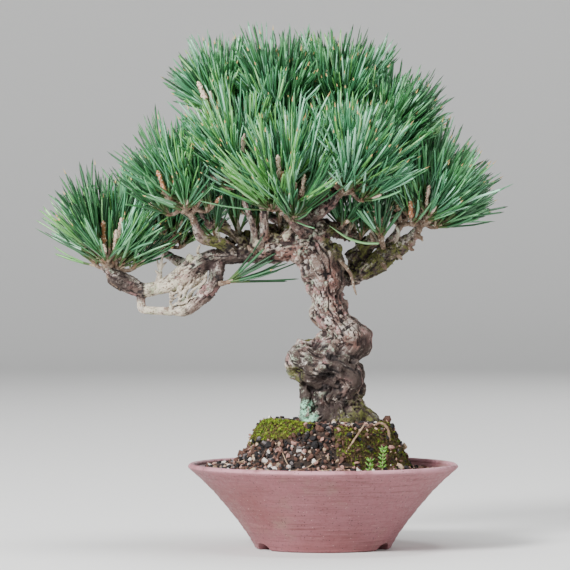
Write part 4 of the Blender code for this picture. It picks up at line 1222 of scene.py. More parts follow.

# %% [markdown]
# ### The colours of bark
# Plates weather to a warm grey, some of them pinkish where a layer has flaked off, and the cracks
# stay dark purple-brown. Lichen spots the bleached side in grey and pale green, algae tints the
# damp forks, and one root stub is crusted with mint-coloured lichen. The long bough's outer half
# has worn to smooth cream wood. Light and shade are painted in as well: shade on the lower turns,
# inside the forks, in the clefts, hollows and cavities, a highlight on the ridges, and a paler
# colour on the side that faces the key light.

# %% Bark
bark = Finish("plated_bark", (0.052, 0.031, 0.025), 0.88)
bark.layers(
    ("tone", (0.2, 0.134, 0.11)),
    ("flush", stains(260, 0.4, 0.6, shift=2.0), (0.31, 0.152, 0.148)),
    (stains(120, 0.53, 0.64, 0.7, shift=2.0), (0.175, 0.096, 0.082)),
    # painted shade: dark on the lower turns, inside the forks and on shaded boughs
    ("shade", (0.03, 0.018, 0.014)),
    ("russet", stains(210, 0.36, 0.54, 0.7, shift=12.0), (0.185, 0.088, 0.068)),
    # pale grey of weathered flakes, and on the side facing the key light partly painted light
    ("weather", stains(230, 0.5, 0.58, 0.8, shift=1.0), (0.5, 0.455, 0.41)),
    ("weather", stains(190, 0.54, 0.61, 0.85, shift=6.0), (0.38, 0.46, 0.34)),
    # painted highlight on the ridges, partly the real grey of their weathered edges
    ("ridge", stains(240, 0.49, 0.64, 0.8, shift=5.0), (0.48, 0.41, 0.35)),
    # more painted shade over the same places, broken by stains
    ("shade", stains(200, 0.39, 0.49, 0.8, shift=14.0), (0.036, 0.022, 0.017)),
    ("pale", stains(230, 0.4, 0.56, 0.8, shift=9.0), (0.6, 0.53, 0.41)),
    ("pale", stains(170, 0.48, 0.6, 0.8, shift=3.0), (0.33, 0.34, 0.22)),
    ("pale", stains(300, 0.54, 0.62, 0.8, shift=11.0), (0.17, 0.11, 0.078)),
    ("pale", specks(800, 0.35, 0.35), (0.21, 0.16, 0.115)),
    ("green", stains(240, 0.42, 0.54, 0.8, shift=4.0), (0.095, 0.1, 0.02)),
    # painted shade in the broad hollows and the small cavities
    ("hollow", stains(200, 0.2, 0.45, 0.7, shift=7.0), (0.03, 0.016, 0.014)),
    ("cavity_shade", (0.028, 0.014, 0.013)),
    ("crack", (0.01, 0.006, 0.006)),
    ("mint", stains(330, 0.46, 0.53, 0.85, shift=8.0), (0.33, 0.68, 0.47)),
)
bark.relief(grain(1700), 0.00022)
dress(trunk_mesh, [bark], ["trunk"])
dress(boughs_mesh, [bark], [*BOUGHS])

# %% [markdown]
# ## The needles' rule
# Each mass of foliage grows from the end of its bough. A short stem carries a fan of twigs, set
# round it by the golden angle so that no two hide one another. Each twig ends in a needled shoot
# that turns up to the light. This is the rule that made the solids, repeated here so that the
# fine needles fill the same space and leave the same gaps for the sky.

# %% The masses of foliage
FOLIAGE = {}
for name, wood, stem, fan, spread, tufts, twig, needle in (
        ("left_low", "left_bough", (-99.5, -3, 130), (0.03, -0.08, 1), 48, 8, 5, 35.2),
        ("left_back", "left_back_bough", (-76, 26, 139), (0.05, 0.3, 0.92), 60, 7, 6, 34.5),
        ("left_mid", "left_mid_bough", (-64, -16, 156), (-0.15, -0.25, 0.95), 60, 7, 5, 32.8),
        ("under_left", "left_loop_limb", (-46.2, -7, 121.8), (1, -0.15, 0.06), 0, 1, 1, 32),
        ("front_left", "front_left_bough", (-37, -18, 168), (-0.18, -0.4, 0.9), 62, 8, 5, 36),
        ("front", "front_bough", (-16.5, -28, 156.5), (-0.05, -0.4, 0.9), 66, 9, 6, 41),
        ("front_right", "front_right_bough", (11, -23, 164), (0.22, -0.4, 0.9), 62, 8, 6, 38),
        ("right_front", "right_bough", (26.2, -10, 142.5), (-0.1, -0.4, 0.9), 25, 2, 1, 24),
        ("right_low", "right_bough", (45, -7, 150), (0.42, -0.12, 0.88), 66, 9, 5, 35.2),
        ("right_back", "right_back_bough", (38, 32.5, 151), (0.35, 0.4, 0.85), 66, 8, 6, 35),
        ("right_upper", "right_upper_bough", (25, -4, 180), (0.3, -0.08, 0.92), 56, 9, 6, 34.2),
        ("back_left", "back_left_bough", (-36, 42, 160), (-0.2, 0.45, 0.88), 66, 8, 7, 36.2),
        ("back_right", "back_right_bough", (16, 39, 168), (0.15, 0.45, 0.88), 66, 8, 7, 36),
        ("upper_left", "upper_left_bough", (-46.5, -1, 197.5), (-0.18, -0.1, 0.97), 58, 8, 3, 31),
        ("top_left", "trunk", (-21.5, -4, 195), (-0.05, -0.25, 0.98), 58, 8, 4, 33),
        ("top_right", "top_right_bough", (7, -1.5, 195.5), (0.1, -0.15, 0.98), 60, 8, 4, 33),
        ("back_top", "back_top_bough", (-9, 27, 192), (0, 0.4, 0.9), 66, 8, 5, 33)):
    FOLIAGE["foliage_" + name] = dict(
        wood=wood, stem=metres(stem), fan=fan, spread=spread, tufts=tufts,
        twig=metres(twig), needle=metres(needle))
FOLIAGE["foliage_under_left"] |= dict(side_of=1, pairs=8, lean=30, shoot=0.003)
FOLIAGE["foliage_right_front"] |= dict(side_of=4, pairs=9, lean=56, shoot=0.004)
print("masses:", len(FOLIAGE), "with", sum(m["tufts"] for m in FOLIAGE.values()), "twigs")

# %% [markdown]
# ### A space for each mass
# Masses that grew into one another would read as one ball. Each has a middle and a size, and a
# point belongs to the mass that it is nearest to, weighed by size. The planes between them leave
# the lanes of shade that part one pad of needles from the next.

# %% Which space a point is in
SPACES = {}
for name, mass in FOLIAGE.items():
    reach = mass["twig"] + mass["needle"]
    middle = Vector(mass["stem"]) + Vector(mass["fan"]).normalized() * 0.5 * reach
    SPACES[name] = (np.array(middle), 0.6 * reach)


def depth_in_space(points, name):
    """How far points are inside the space of a mass: below 0 they are in a neighbour's."""
    middle, size = SPACES[name]
    own = ((points - middle) ** 2).sum(-1) - size**2
    least = np.full(points.shape[:-1], 1.0)
    for other, (there, there_size) in SPACES.items():
        if other != name:
            lead = ((points - there) ** 2).sum(-1) - there_size**2 - own
            least = np.minimum(least, lead / (2 * np.linalg.norm(there - middle)))
    return least


front_depth = depth_in_space(SPACES["foliage_front"][0], "foliage_front")
print("the front mass is", round(1000 * float(front_depth), 1), "mm deep at its middle")

# %% [markdown]
# ### Twigs and shoots
# A twig leaves the stem, runs a few millimetres and turns up into its shoot. Then the fine part
# begins: each twig here also bears two side shoots, which a real tree makes each summer and the
# solids leave out. A shoot that would leave its space or run into wood is skipped.

# %% Where the shoots are
SHOOT_LENGTH = 0.007
SHOOT_RISE = 0.3
SIDE_SHOOTS = 2
SIDE_SHARE = 0.7
SIDE_SHOOT_LEAN = math.radians(48)
SIDE_STEM_RADIUS = 0.0013
SIDE_TWIG = 0.003  # the least length of the twig of a side shoot
STEM_BEND = 0.35
TWIGS_FROM = 0.7
TIP_INSIDE = 0.0005  # how far inside its space the tip of a shoot stays, and how far off wood
TIP_OFF_WOOD = 0.0015

wood_points = np.array([[*place, radius] for place, radius, *_ in stations])


def gap_to_wood(points):
    """How far points are from the skin of the nearest wood."""
    apart = np.linalg.norm(points[..., None, :] - wood_points[:, :3], axis=-1)
    return (apart - wood_points[:, 3]).min(-1)


def fan_direction(axis, lean, turn):
    """The axis leaned over by one angle and turned about itself by another."""
    side = axis.orthogonal().normalized()
    out = side * math.cos(turn) + axis.cross(side) * math.sin(turn)
    return axis * math.cos(lean) + out * math.sin(lean)


def stem_start(mass):
    """Where the stem of a mass leaves its wood, which way, and how thick it is."""
    knots = TRUNK_ROUTE if mass["wood"] == "trunk" else BOUGHS[mass["wood"]]
    if "side_of" in mass:
        knot = knots[mass["side_of"]]
        way = (Vector(mass["stem"]) - Vector(knot[:3])).normalized()
        return Vector(knot[:3]) + way * knot[3] / 2, way, SIDE_STEM_RADIUS
    before, last = smooth_route(knots, 2)[-2:]
    way = Vector(last[:3] - before[:3]).normalized()
    return Vector(last[:3]) - way * 0.001, way, last[3]


def shoots_of(name, seed):
    """Every shoot of a mass as (foot, knee, tip, share of a full shoot), and the mass's stem."""
    mass = FOLIAGE[name]
    rng = random.Random(seed)
    start, way, radius = stem_start(mass)
    stem_end = Vector(mass["stem"])
    bend = start + way * STEM_BEND * (stem_end - start).length
    axis = Vector(mass["fan"]).normalized()
    up = axis + Vector((0.0, 0.0, 0.5))
    shoots = []
    shoot_length = mass.get("shoot", SHOOT_LENGTH)
    for number in range(mass["tufts"]):
        share = (number + 0.5) / mass["tufts"]
        lean = math.radians(mass["spread"]) * math.sqrt(share)
        out = fan_direction(axis, lean, number * GOLDEN_ANGLE + seed)
        foot = stem_end.lerp(bend, TWIGS_FROM * share)
        knee = foot + out * mass["twig"] * rng.uniform(0.85, 1.15)
        tip = knee + out.lerp(up, SHOOT_RISE).normalized() * shoot_length
        shoots.append((foot, knee, tip, 1.0))
        for side in range(0 if "side_of" in mass else SIDE_SHOOTS):
            aside = fan_direction(out, SIDE_SHOOT_LEAN, side * math.pi + number * GOLDEN_ANGLE)
            side_foot = foot.lerp(knee, rng.uniform(0.45, 0.9))
            side_twig = SIDE_TWIG + 0.6 * mass["twig"]
            side_knee = side_foot + aside * side_twig * rng.uniform(0.8, 1.2)
            side_tip = side_knee + aside.lerp(up, 0.4).normalized() * 0.85 * SHOOT_LENGTH
            shoots.append((side_foot, side_knee, side_tip, SIDE_SHARE))
    kept = []
    for shoot in shoots:
        tip = np.array(shoot[2])
        if depth_in_space(tip, name) > TIP_INSIDE and gap_to_wood(tip) > TIP_OFF_WOOD:
            kept.append(shoot)
    return kept, (start, bend, stem_end, radius)


INNER_SHOOTS = metres({  # (foot, tip) of small shoots on the old wood inside the crown
    "foliage_right_front": (
        ((11.8, 4, 145), (13.5, -1, 152)), ((16.5, 5.5, 140), (20, 3, 149)),
        ((7.5, -1, 147), (10.5, -7, 150)), ((15, 8, 142), (14, 12, 150)),
        ((11, 6, 144), (7, 7.5, 151.5))),
    "foliage_front_left": (
        ((-38.5, 2, 141), (-40, 1, 149)), ((-20.5, 3, 145), (-19.5, 0, 153)),
        ((-30, 3, 143), (-31, 6, 151))),
    "foliage_left_mid": (((-50, -6, 140), (-49, -8, 147)),),
})
INNER_SHARE = 0.55  # how big such a shoot is beside a full one

grown = {name: shoots_of(name, n + 1) for n, name in enumerate(FOLIAGE)}
for name, rows in INNER_SHOOTS.items():
    for foot, tip in rows:
        foot, tip = Vector(foot), Vector(tip)
        grown[name][0].append((foot, foot.lerp(tip, 0.35), tip, INNER_SHARE))
print("shoots:", sum(len(shoots) for shoots, _ in grown.values()))

# %% [markdown]
# ### Twigs
# Young pine wood is brown and scaly, with a raised scar wherever a pair of needles has dropped,
# so no twig is a smooth rod. A little randomness in the radius of each ring gives those scars.

# %% Grow the twigs
TWIG_RADIUS = 0.001
STEM_SCARS, TWIG_SCARS, STUB_SCARS = 0.16, 0.22, 0.25  # how uneven each kind is
BLEACHED_STUBS = range(1, 9)
STUBS = metres((  # old wood that has died back: each row is a broken-off twig
    ((7, -4.5, 133, 0.8), (12.2, -6.2, 127, 0.8), (14, -6.4, 120.5, 0.6),
     (15.3, -5.8, 116.5, 0.3)),
    ((-25.5, -2, 145, 1.2), (-26.2, -4, 152, 1), (-24.5, -4.5, 158, 0.8)),
    ((-38, 2, 143, 1.2), (-39.2, -1, 149, 0.9), (-41, -2, 153, 0.6)),
    ((-15, -6, 146, 1.2), (-14, -10, 151, 0.9), (-15.5, -12.5, 155, 0.6)),
    ((-47, -8, 141, 1.1), (-48.5, -10, 146, 0.8), (-47.5, -11, 150, 0.6)),
    ((25, 1, 140, 1.1), (22.5, -2, 145.5, 0.9), (23.5, -4, 150, 0.6)),
    ((33, -3, 140, 1.1), (34.5, -7, 144.5, 0.9), (33.5, -8.5, 148, 0.6)),
    ((10, 5, 144, 1.2), (13.5, 2, 149, 0.9), (13, 0, 154, 0.6)),
    ((-56, -4, 133, 1), (-57.5, -7, 136.5, 0.8), (-56.5, -8, 139.5, 0.5)),
    ((27, -1, 133, 1.6), (27.8, -3, 130, 1.3), (29, -4, 128.2, 0.5)),
    ((33.5, -3, 137, 1.6), (35, -5, 134.2, 1.2), (36.2, -5.5, 132.8, 0.5)),
    ((38.5, -5, 140, 1.4), (40.2, -6.8, 137.8, 1.1), (41.6, -7, 137, 0.4)),
    ((42.5, -7, 144, 1.3), (44.6, -8.5, 142.8, 1), (45.5, -8.8, 141.2, 0.4)),
    ((23, -2, 140, 1.5), (22.6, -6, 142.5, 1.1), (21.4, -7.5, 145, 0.5)),
    ((-31, -8, 136, 1.4), (-33, -10.5, 137.2, 1.1), (-34.5, -11, 139.2, 0.5)),
))


def grow_twigs():
    """The stem and twigs of every mass, and the broken-off stubs."""
    rng = random.Random(11)
    twigs = Gathered()
    for shoots, (start, bend, stem_end, radius) in grown.values():
        stem = [(*start, radius), (*bend, 0.92 * radius), (*stem_end, 1.25 * TWIG_RADIUS)]
        tube(twigs, smooth_route(stem, 5), 8, STEM_SCARS, rng)
        for foot, knee, tip, share in shoots:
            thick = TWIG_RADIUS * (1.15 if share == 1.0 else 0.9)
            knots = [(*foot, 1.15 * thick), (*knee, thick), (*tip, 0.95 * thick)]
            tube(twigs, smooth_route(knots, 5), 6, TWIG_SCARS, rng)
    for number, line in enumerate(STUBS):
        tint = 1 if number in BLEACHED_STUBS else 0
        tube(twigs, smooth_route(line, 5), 6, STUB_SCARS, rng, tint)
    return twigs


twigs = grow_twigs()
twig_bark = Finish("twig_bark", (0.11, 0.066, 0.044), 0.9)
twig_bark.layers((stains(350, 0.42, 0.62, 0.8), (0.3, 0.225, 0.165)),
                 (specks(900, 0.3, 0.35), (0.43, 0.4, 0.32)))
dead_twig = Finish("dead_twig", (0.33, 0.275, 0.215), 0.9)
dead_twig.layers((stains(300, 0.45, 0.58, 0.8), (0.44, 0.46, 0.35)),
                 (specks(700, 0.4, 0.3), (0.11, 0.072, 0.052)))
for finish in (twig_bark, dead_twig):
    finish.relief(grain(1600), 0.0003)
dress(twigs.mesh("twigs"), [twig_bark, dead_twig])

# %% [markdown]
# ### Needles in pairs
# A black pine needle is stiff, about four centimetres long and a little over a millimetre wide,
# flat inside and round outside, and it grows with one partner out of a short papery sheath. Pairs
# stand round the last centimetre of a shoot, wide open at its foot and nearly upright at its
# tip. All needles of a mass are worked out together as arrays, which is hundreds of times faster
# than one by one.

# %% Choose the shoots that show a candle
SHOWN_CANDLES = metres((  # (x, z) of the candles that stand out on the front
    (-73.6, 164), (-56.6, 209), (49.2, 158.5), (26.2, 145.2), (-18.4, 174.2), (-11, 164),
    (42.3, 153.6), (-97.5, 148), (-91, 144), (-35, 180),
))
FRONT_WEIGHT = 0.25


def showing_shoots():
    """For each place in front, the (mass, number) of the shoot whose tip is nearest to it."""
    chosen = set()
    for x, z in SHOWN_CANDLES:
        best = min((math.hypot(tip.x - x, tip.z - z) + FRONT_WEIGHT * (tip.y + 0.03), name, number)
                   for name, (shoots, _) in grown.items()
                   for number, (_, _, tip, _) in enumerate(shoots))
        chosen.add(best[1:])
    return chosen


shown = showing_shoots()
print("candles that stand out:", len(shown))

# %% Set out the pairs on the shoots
PAIRS_ON_SHOOT = 24
PAIRS_VARY = (0.8, 1.2)
LEAN_AT_FOOT = 56
LEAN_AT_TIP = 5
LEAN_VARIES = 11
PAIR_SPREAD = (2.0, 10.0)  # degrees from the middle of a pair to each needle
TURN_UP_BELOW = 0.72  # needles that start out lower than this turn up towards the light
TURN_UP_SHARE = 0.66
TURN_UP_OUTSIDE = 0.34  # and those that point away from the trunk turn up by less
POINTS_AWAY = 0.55
NEEDLE_SHADES = 5
VIGOUR = (0.82, 1.1)
SIDE_VIGOUR = 0.78  # how long the needles of a side shoot are beside those of a full one
SHORTEST, LONGEST = 0.76, 1.16  # beside the length that the mass gives
LONGEST_MORE = 0.4
PARTNERS_VARY = (0.94, 1.02)
LIT_SIDE = np.array((-0.3, -0.4, 0.87))
TONE_MIDDLE = 1.7
TONE_STEP = 1.5  # how many greens of painted light a shoot gains for half the size of its mass towards the lit side
MASS_LIGHT_AND_SHADE = {  # painted light (above 0) and painted shade (below 0) on a whole mass, in greens beyond the rule
    "foliage_front": 0.6, "foliage_front_left": 0.4, "foliage_front_right": 0.3,
    "foliage_left_low": -0.5, "foliage_upper_left": -0.3, "foliage_top_left": -0.5,
    "foliage_top_right": -0.5, "foliage_back_top": -0.3, "foliage_right_upper": -0.3,
    "foliage_right_low": -0.7, "foliage_right_back": -0.4,
}
# painted shade: greens taken off the inner shoots and the side sprays
INNER_PAINTED_SHADE = 1.5
print("needles on a full shoot:", 2 * PAIRS_ON_SHOOT)

# %% The course and the tone of a needle
def turned_up(course, root):
    """The direction of a needle after it has grown towards the light."""
    if course.z < TURN_UP_BELOW:
        outward = Vector((root.x, root.y, 0.0)).normalized()
        share = TURN_UP_OUTSIDE if course.dot(outward) > POINTS_AWAY else TURN_UP_SHARE
        course.z += (TURN_UP_BELOW - course.z) * share
    return course.normalized()


def lit_and_shaded_tone(name, tip, share, rng):
    """Which green a shoot has: painted shade low down inside the crown, painted light at its
    lit top and front.
    """
    middle, size = SPACES[name]
    lift = float((np.array(tip) - middle).dot(LIT_SIDE)) / size
    tone = TONE_MIDDLE + MASS_LIGHT_AND_SHADE.get(name, 0.0) + TONE_STEP * lift + rng.normal(0, 1.0)
    tone -= INNER_PAINTED_SHADE if share == INNER_SHARE or "side_of" in FOLIAGE[name] else 0.0
    return int(np.clip(round(tone), 0, NEEDLE_SHADES - 1))


def pairs_of(name, shoots, rng):
    """Root, direction, length and shade of each needle of a mass, as arrays."""
    mass = FOLIAGE[name]
    rows = []
    for foot, knee, tip, share in shoots:
        way = (tip - knee).normalized()
        tint = lit_and_shaded_tone(name, tip, share, rng)
        full = PAIRS_ON_SHOOT if share == INNER_SHARE else mass.get("pairs", PAIRS_ON_SHOOT)
        pairs = round(full * share * rng.uniform(*PAIRS_VARY))
        turn = rng.uniform(0, 2 * math.pi)
        vigour = rng.uniform(*VIGOUR) * (SIDE_VIGOUR if share == SIDE_SHARE else 1.0)
        if "side_of" in mass:
            vigour = 1.0
        for k in range(pairs):
            t = (k + 0.5) / pairs
            wide = mass.get("lean", LEAN_AT_FOOT)
            lean = wide + (LEAN_AT_TIP - wide) * t**0.7 + rng.normal(0, LEAN_VARIES)
            course = fan_direction(way, math.radians(lean), k * GOLDEN_ANGLE + turn)
            root = knee.lerp(tip, -0.1 + 1.1 * t)
            if name == "foliage_under_left":
                course.z = 0.9 * abs(course.z) - 0.05
            else:
                course = turned_up(course, root)
            grown_by = vigour * (SHORTEST + LONGEST_MORE * rng.uniform() ** 1.5)
            length = mass["needle"] * min(LONGEST, grown_by)
            open_by = math.radians(rng.uniform(*PAIR_SPREAD))
            plane = rng.uniform(0, 2 * math.pi)
            shade = tint if rng.uniform() < 0.5 else min(tint + 1, rng.integers(NEEDLE_SHADES))
            # the spray under the left bough gets the deepest green, painted shade
            shade = 0 if name == "foliage_under_left" else shade
            for sign in (-1, 1):
                needle = fan_direction(course, open_by * sign, plane)
                own = length * rng.uniform(*PARTNERS_VARY)
                rows.append((*root, *needle, own, shade, k % 2))
    return np.array(rows)


print("tones of a shoot: 0 to", NEEDLE_SHADES - 1)

# %% [markdown]
# ### Needles that stay in their space
# A needle that would end in a neighbour's space or pass through wood is turned towards the middle
# of its own mass, first a little and then more, and dropped if that doesn't help. A few are also
# left out where they would hide one of the candles that stand out on the front.

# %% Keep the needles in their space
SPACE_OVERLAP = 0.003  # how far a needle may cross into a neighbour's space
OFF_WOOD = 0.0008
TURNED_IN = (0.0, 0.2, 0.4)
CLEAR_BESIDE = 0.0024
CLEAR_ABOVE = 0.012


def kept_needles(name, rows):
    """Turns needles in until they fit the space and miss the wood, and drops what never does."""
    roots, lengths = rows[:, :3], rows[:, 6:7]
    ways = rows[:, 3:6].copy()
    inward = unit(SPACES[name][0] - roots)
    fits = np.zeros(len(rows), bool)
    for share in TURNED_IN:
        tried = unit(rows[:, 3:6] * (1 - share) + inward * share)
        ends = roots + tried * lengths
        spots = roots[:, None] + (tried * lengths)[:, None] * np.array([0.3, 0.6, 1.0])[:, None]
        good = depth_in_space(ends, name) > -SPACE_OVERLAP
        good &= (gap_to_wood(spots) > OFF_WOOD).all(1)
        new = good & ~fits
        ways[new] = tried[new]
        fits |= good
    rows = rows.copy()
    rows[:, 3:6] = ways
    return rows[fits]


def opened_needles(rows):
    """Leaves out the needles that would hide a candle from the front."""
    ways = rows[:, None, 3:6] * rows[:, None, 6:7]
    spots = rows[:, None, :3] + ways * np.linspace(0.05, 0.9, 8)[:, None]
    hides = np.zeros(len(rows), bool)
    for name, number in shown:
        tip = grown[name][0][number][2]
        aside = np.abs(spots[..., 0] - tip.x) < CLEAR_BESIDE
        level = np.abs(spots[..., 2] - tip.z - CLEAR_ABOVE / 2) < CLEAR_ABOVE / 2
        hides |= (aside & level & (spots[..., 1] < tip.y)).any(1)
    return rows[~hides]


needle_rng = np.random.default_rng(5)
needles = {}
for name, (shoots, _) in grown.items():
    kept = kept_needles(name, pairs_of(name, shoots, needle_rng))
    needles[name] = kept if "side_of" in FOLIAGE[name] else opened_needles(kept)
print("needles:", sum(len(rows) for rows in needles.values()))

# %% Shape the needles
NEEDLE_WIDTH = 0.00118
STATIONS = np.array([0.0, 0.3, 0.65, 0.93])
STATION_WIDTHS = np.array([0.7, 1.0, 0.97, 0.74])
SECTION = np.array([(-0.5, -0.12), (0.5, -0.12), (0.0, 0.34)])  # flat inside, round outside
CURVE_UP = (0.02, 0.11)  # how much an upright needle curves up, and how much more a level one
CURVE_ANYHOW = 0.09
DRY_SHARE = 0.08


def shaped_needles(rows, rng):
    """All needles of a mass as one collector."""
    count = len(rows)
    roots, ways, lengths = rows[:, :3], rows[:, 3:6], rows[:, 6]
    across = unit(np.cross(ways, rng.normal(size=(count, 3))))
    up = np.cross(across, ways)
    bend = across * rng.normal(0, CURVE_ANYHOW, (count, 1))
    bend[:, 2] += CURVE_UP[0] + CURVE_UP[1] * (1 - ways[:, 2])
    points = np.zeros((count, 13, 3))
    for s, (t, wide) in enumerate(zip(STATIONS, STATION_WIDTHS)):
        middle = roots + (ways * t + bend * t * t) * lengths[:, None]
        for k, (u, v) in enumerate(SECTION):
            points[:, 3 * s + k] = middle + (across * u + up * v) * NEEDLE_WIDTH * wide
    points[:, 12] = roots + (ways + bend) * lengths[:, None]
    pattern = np.array(net(4, 3) + [(9, 10, 12), (10, 11, 12), (11, 9, 12)])
    triangles = pattern[None] + 13 * np.arange(count)[:, None, None]
    tints = np.repeat(rows[:, 7].astype(int)[:, None], len(pattern), axis=1)
    flat_side = [row for row in range(18) if row % 6 < 2]
    tints[:, flat_side] += NEEDLE_SHADES
    tints[:, :6] = 2 * NEEDLE_SHADES  # the foot is yellower, and darker as painted shade
    dry = rng.uniform(size=count) < DRY_SHARE
    tints[dry, 18:] = 2 * NEEDLE_SHADES + 1
    made = Gathered()
    made.add(points, triangles, tints.ravel())
    return made


STRAY = metres((  # one old needle that hangs out to the left from the tuft at the right fork
    (25.2, -12, 140.2, 0.45), (18.5, -15, 140.4, 0.55), (11, -16, 142.7, 0.55),
    (2.8, -16, 148.2, 0.12),
))

shaped = {name: shaped_needles(rows, needle_rng) for name, rows in needles.items()}
tube(shaped["foliage_right_front"], smooth_route(STRAY, 4), 4, tint=2 * NEEDLE_SHADES - 2)
print("triangles in needles:", sum(len(m.triangles[0]) for m in shaped.values()))

# %% [markdown]
# ### Green by the shoot
# A shoot's needles share a tone, from deep to fresh green: painted shade low down inside the
# crown, painted light on its lit top and front, and whole masses set lighter or darker as painted
# light and shade. The foot of each needle is yellower and painted darker as shade.
# The flat inner side of each needle carries pale waxy lines, so it is lighter than the round one,
# and a few needles end in a dry tip. With needles this thin a pattern would only blur, so each
# tone is one plain waxy colour, dealt out by the shoot and by the side.

# %% Needle finishes
NEEDLE_COLOURS = (
    ("needle_deep", (0.016, 0.068, 0.024), (0.045, 0.15, 0.065)),
    ("needle_green", (0.046, 0.185, 0.058), (0.15, 0.4, 0.18)),
    ("needle_blue", (0.08, 0.28, 0.135), (0.31, 0.64, 0.435)),
    ("needle_fresh", (0.13, 0.37, 0.09), (0.32, 0.64, 0.27)),
    ("needle_soft", (0.225, 0.505, 0.28), (0.555, 0.9, 0.66)),
)
NEEDLE_FOOT_SHADE = (0.07, 0.13, 0.036)
NEEDLE_DRY = (0.5, 0.34, 0.13)
NEEDLE_SHINE = 0.34

needle_finishes = [Finish(name, back, NEEDLE_SHINE) for name, back, _ in NEEDLE_COLOURS]
needle_finishes += [Finish(name + "_inside", inside, NEEDLE_SHINE)
                    for name, _, inside in NEEDLE_COLOURS]
needle_finishes += [Finish("needle_foot_shade", NEEDLE_FOOT_SHADE, 0.5),
                    Finish("needle_dry_tip", NEEDLE_DRY, 0.6)]
for name, gathered in shaped.items():
    piece_name = name.replace("foliage", "needles")
    dress(gathered.mesh(piece_name), needle_finishes, [name])

# %% [markdown]
# ### Sheaths and buds
# The foot of every pair is wrapped in a brown papery sheath, which gives each tuft its rusty
# heart. The tip of a shoot ends in a pointed winter bud, pale and resinous on this pine.

# %% Sheaths round the feet of the pairs
SHEATH_LENGTH = 0.0034
SHEATH_WIDTH = 0.0015
SHEATH_TAPER = 0.4  # half its width at the end


def sheaths():
    """A four-sided sheath round the foot of each pair."""
    made = Gathered()
    pattern = np.array(net(2, 4))
    for rows in needles.values():
        rows = rows[::2]
        count = len(rows)
        across = unit(np.cross(rows[:, 3:6], (0.3, 0.5, 0.8)))
        up = np.cross(across, rows[:, 3:6])
        points = np.zeros((count, 8, 3))
        for k in range(4):
            angle = k * math.pi / 2
            out = across * math.cos(angle) + up * math.sin(angle)
            points[:, k] = rows[:, :3] + out * SHEATH_WIDTH / 2
            end = rows[:, :3] + rows[:, 3:6] * SHEATH_LENGTH
            points[:, k + 4] = end + out * SHEATH_WIDTH * SHEATH_TAPER
        made.add(points, pattern[None] + 8 * np.arange(count)[:, None, None],
                 np.repeat(rows[:, 8].astype(int), len(pattern)))
    return made


sheath_finishes = [
    Finish("sheath_brown", (0.2, 0.12, 0.07), 0.75),
    Finish("sheath_pale", (0.34, 0.27, 0.18), 0.75),
]
dress(sheaths().mesh("needle_sheaths"), sheath_finishes)

# %% Buds and candles at the tips
BUD_SHARE = 0.75
CANDLE_SHARE = 0.3
BUD_LENGTH, CANDLE_LENGTH = (0.0035, 0.006), (0.0085, 0.013)
BUD_THICKNESS = (0.0009, 0.0012)
BUD_SCALES, CANDLE_SCALES = 0.26, 0.42  # how rough each is
BUD_BEND = 0.0008
BUD_OUTLINE = ((0.0, 0.6), (0.18, 0.95), (0.45, 1.0), (0.75, 0.78), (0.95, 0.3))
CANDLE_OUTLINE = ((0.0, 0.8), (0.15, 1.15), (0.4, 0.85), (0.65, 1.0), (0.85, 0.9), (0.97, 0.35))


def grow_buds():
    """A bud on most shoots, and on some a candle, the long upright start of a new shoot."""
    rng = random.Random(23)
    buds = Gathered()
    for name, (shoots, _) in grown.items():
        for number, (_, knee, tip, share) in enumerate(shoots):
            stands_out = (name, number) in shown
            bare = rng.random() > BUD_SHARE or name == "foliage_under_left"
            if bare and not stands_out:
                continue
            way = (tip - knee).normalized().lerp(Vector((0.0, 0.0, 1.0)), 0.5 * stands_out)
            candle = stands_out or (share == 1.0 and rng.random() < CANDLE_SHARE)
            length = rng.uniform(*(CANDLE_LENGTH if candle else BUD_LENGTH))
            thick = rng.uniform(*BUD_THICKNESS)
            lean = Vector([rng.uniform(-BUD_BEND, BUD_BEND) for _ in range(3)])
            outline = CANDLE_OUTLINE if candle else BUD_OUTLINE
            route = [(*(tip + way * length * t + lean * t * t), thick * wide)
                     for t, wide in outline]
            tint = rng.choice((0, 0, 0, 1))
            rough = CANDLE_SCALES if candle else BUD_SCALES
            tube(buds, smooth_route(route, 4 if candle else 2), 7, rough, rng, tint)
    return buds


bud_finishes = []
for name, colour, scale_colour in (
        ("bud_cream", (0.9, 0.69, 0.56), (0.38, 0.15, 0.075)),
        ("bud_rust", (0.46, 0.19, 0.09), (0.86, 0.68, 0.54))):
    bud = Finish(name, colour, 0.7)
    bud.layers((specks(1300, 0.42, 0.55), scale_colour))
    bud_finishes.append(bud)
dress(grow_buds().mesh("buds"), bud_finishes)

# %% [markdown]
# ## Moss
# Moss is a cushion of upright leafy stems, each less than a millimetre wide. The cushion's body
# is a soft dome on the mound, and over it stand thousands of tiny leaves in greens, olives and
# browns. A displaced surface alone would look like a sponge.

# %% The bodies of the cushions
MOSS_ROWS = 34
MOSS_COLUMNS = 90
MOSS_TUCK = 0.0025
MOSS_LUMP = 0.0022


def moss_point(name, u, v):
    """A point on top of a cushion, and the way that its stems grow there."""
    (start, end), (near, far), thickness = MOSS_PATCHES[name]
    angle = math.radians(start + (end - start) * v)
    inset = MOSS_CORNER_INSET * (2 * v - 1) ** 2
    radius = near + inset + (far - near - 2 * inset) * u
    base, normal = ground(radius, angle), ground_normal(radius, angle)
    lump = 0.5 + 0.5 * noise.fractal(base / MOSS_LUMP, 0.9, 2.0, 3)
    thick = thickness * moss_share(u, v)
    return base + normal * (thick * (0.28 + 0.42 * lump) + 0.0001), normal


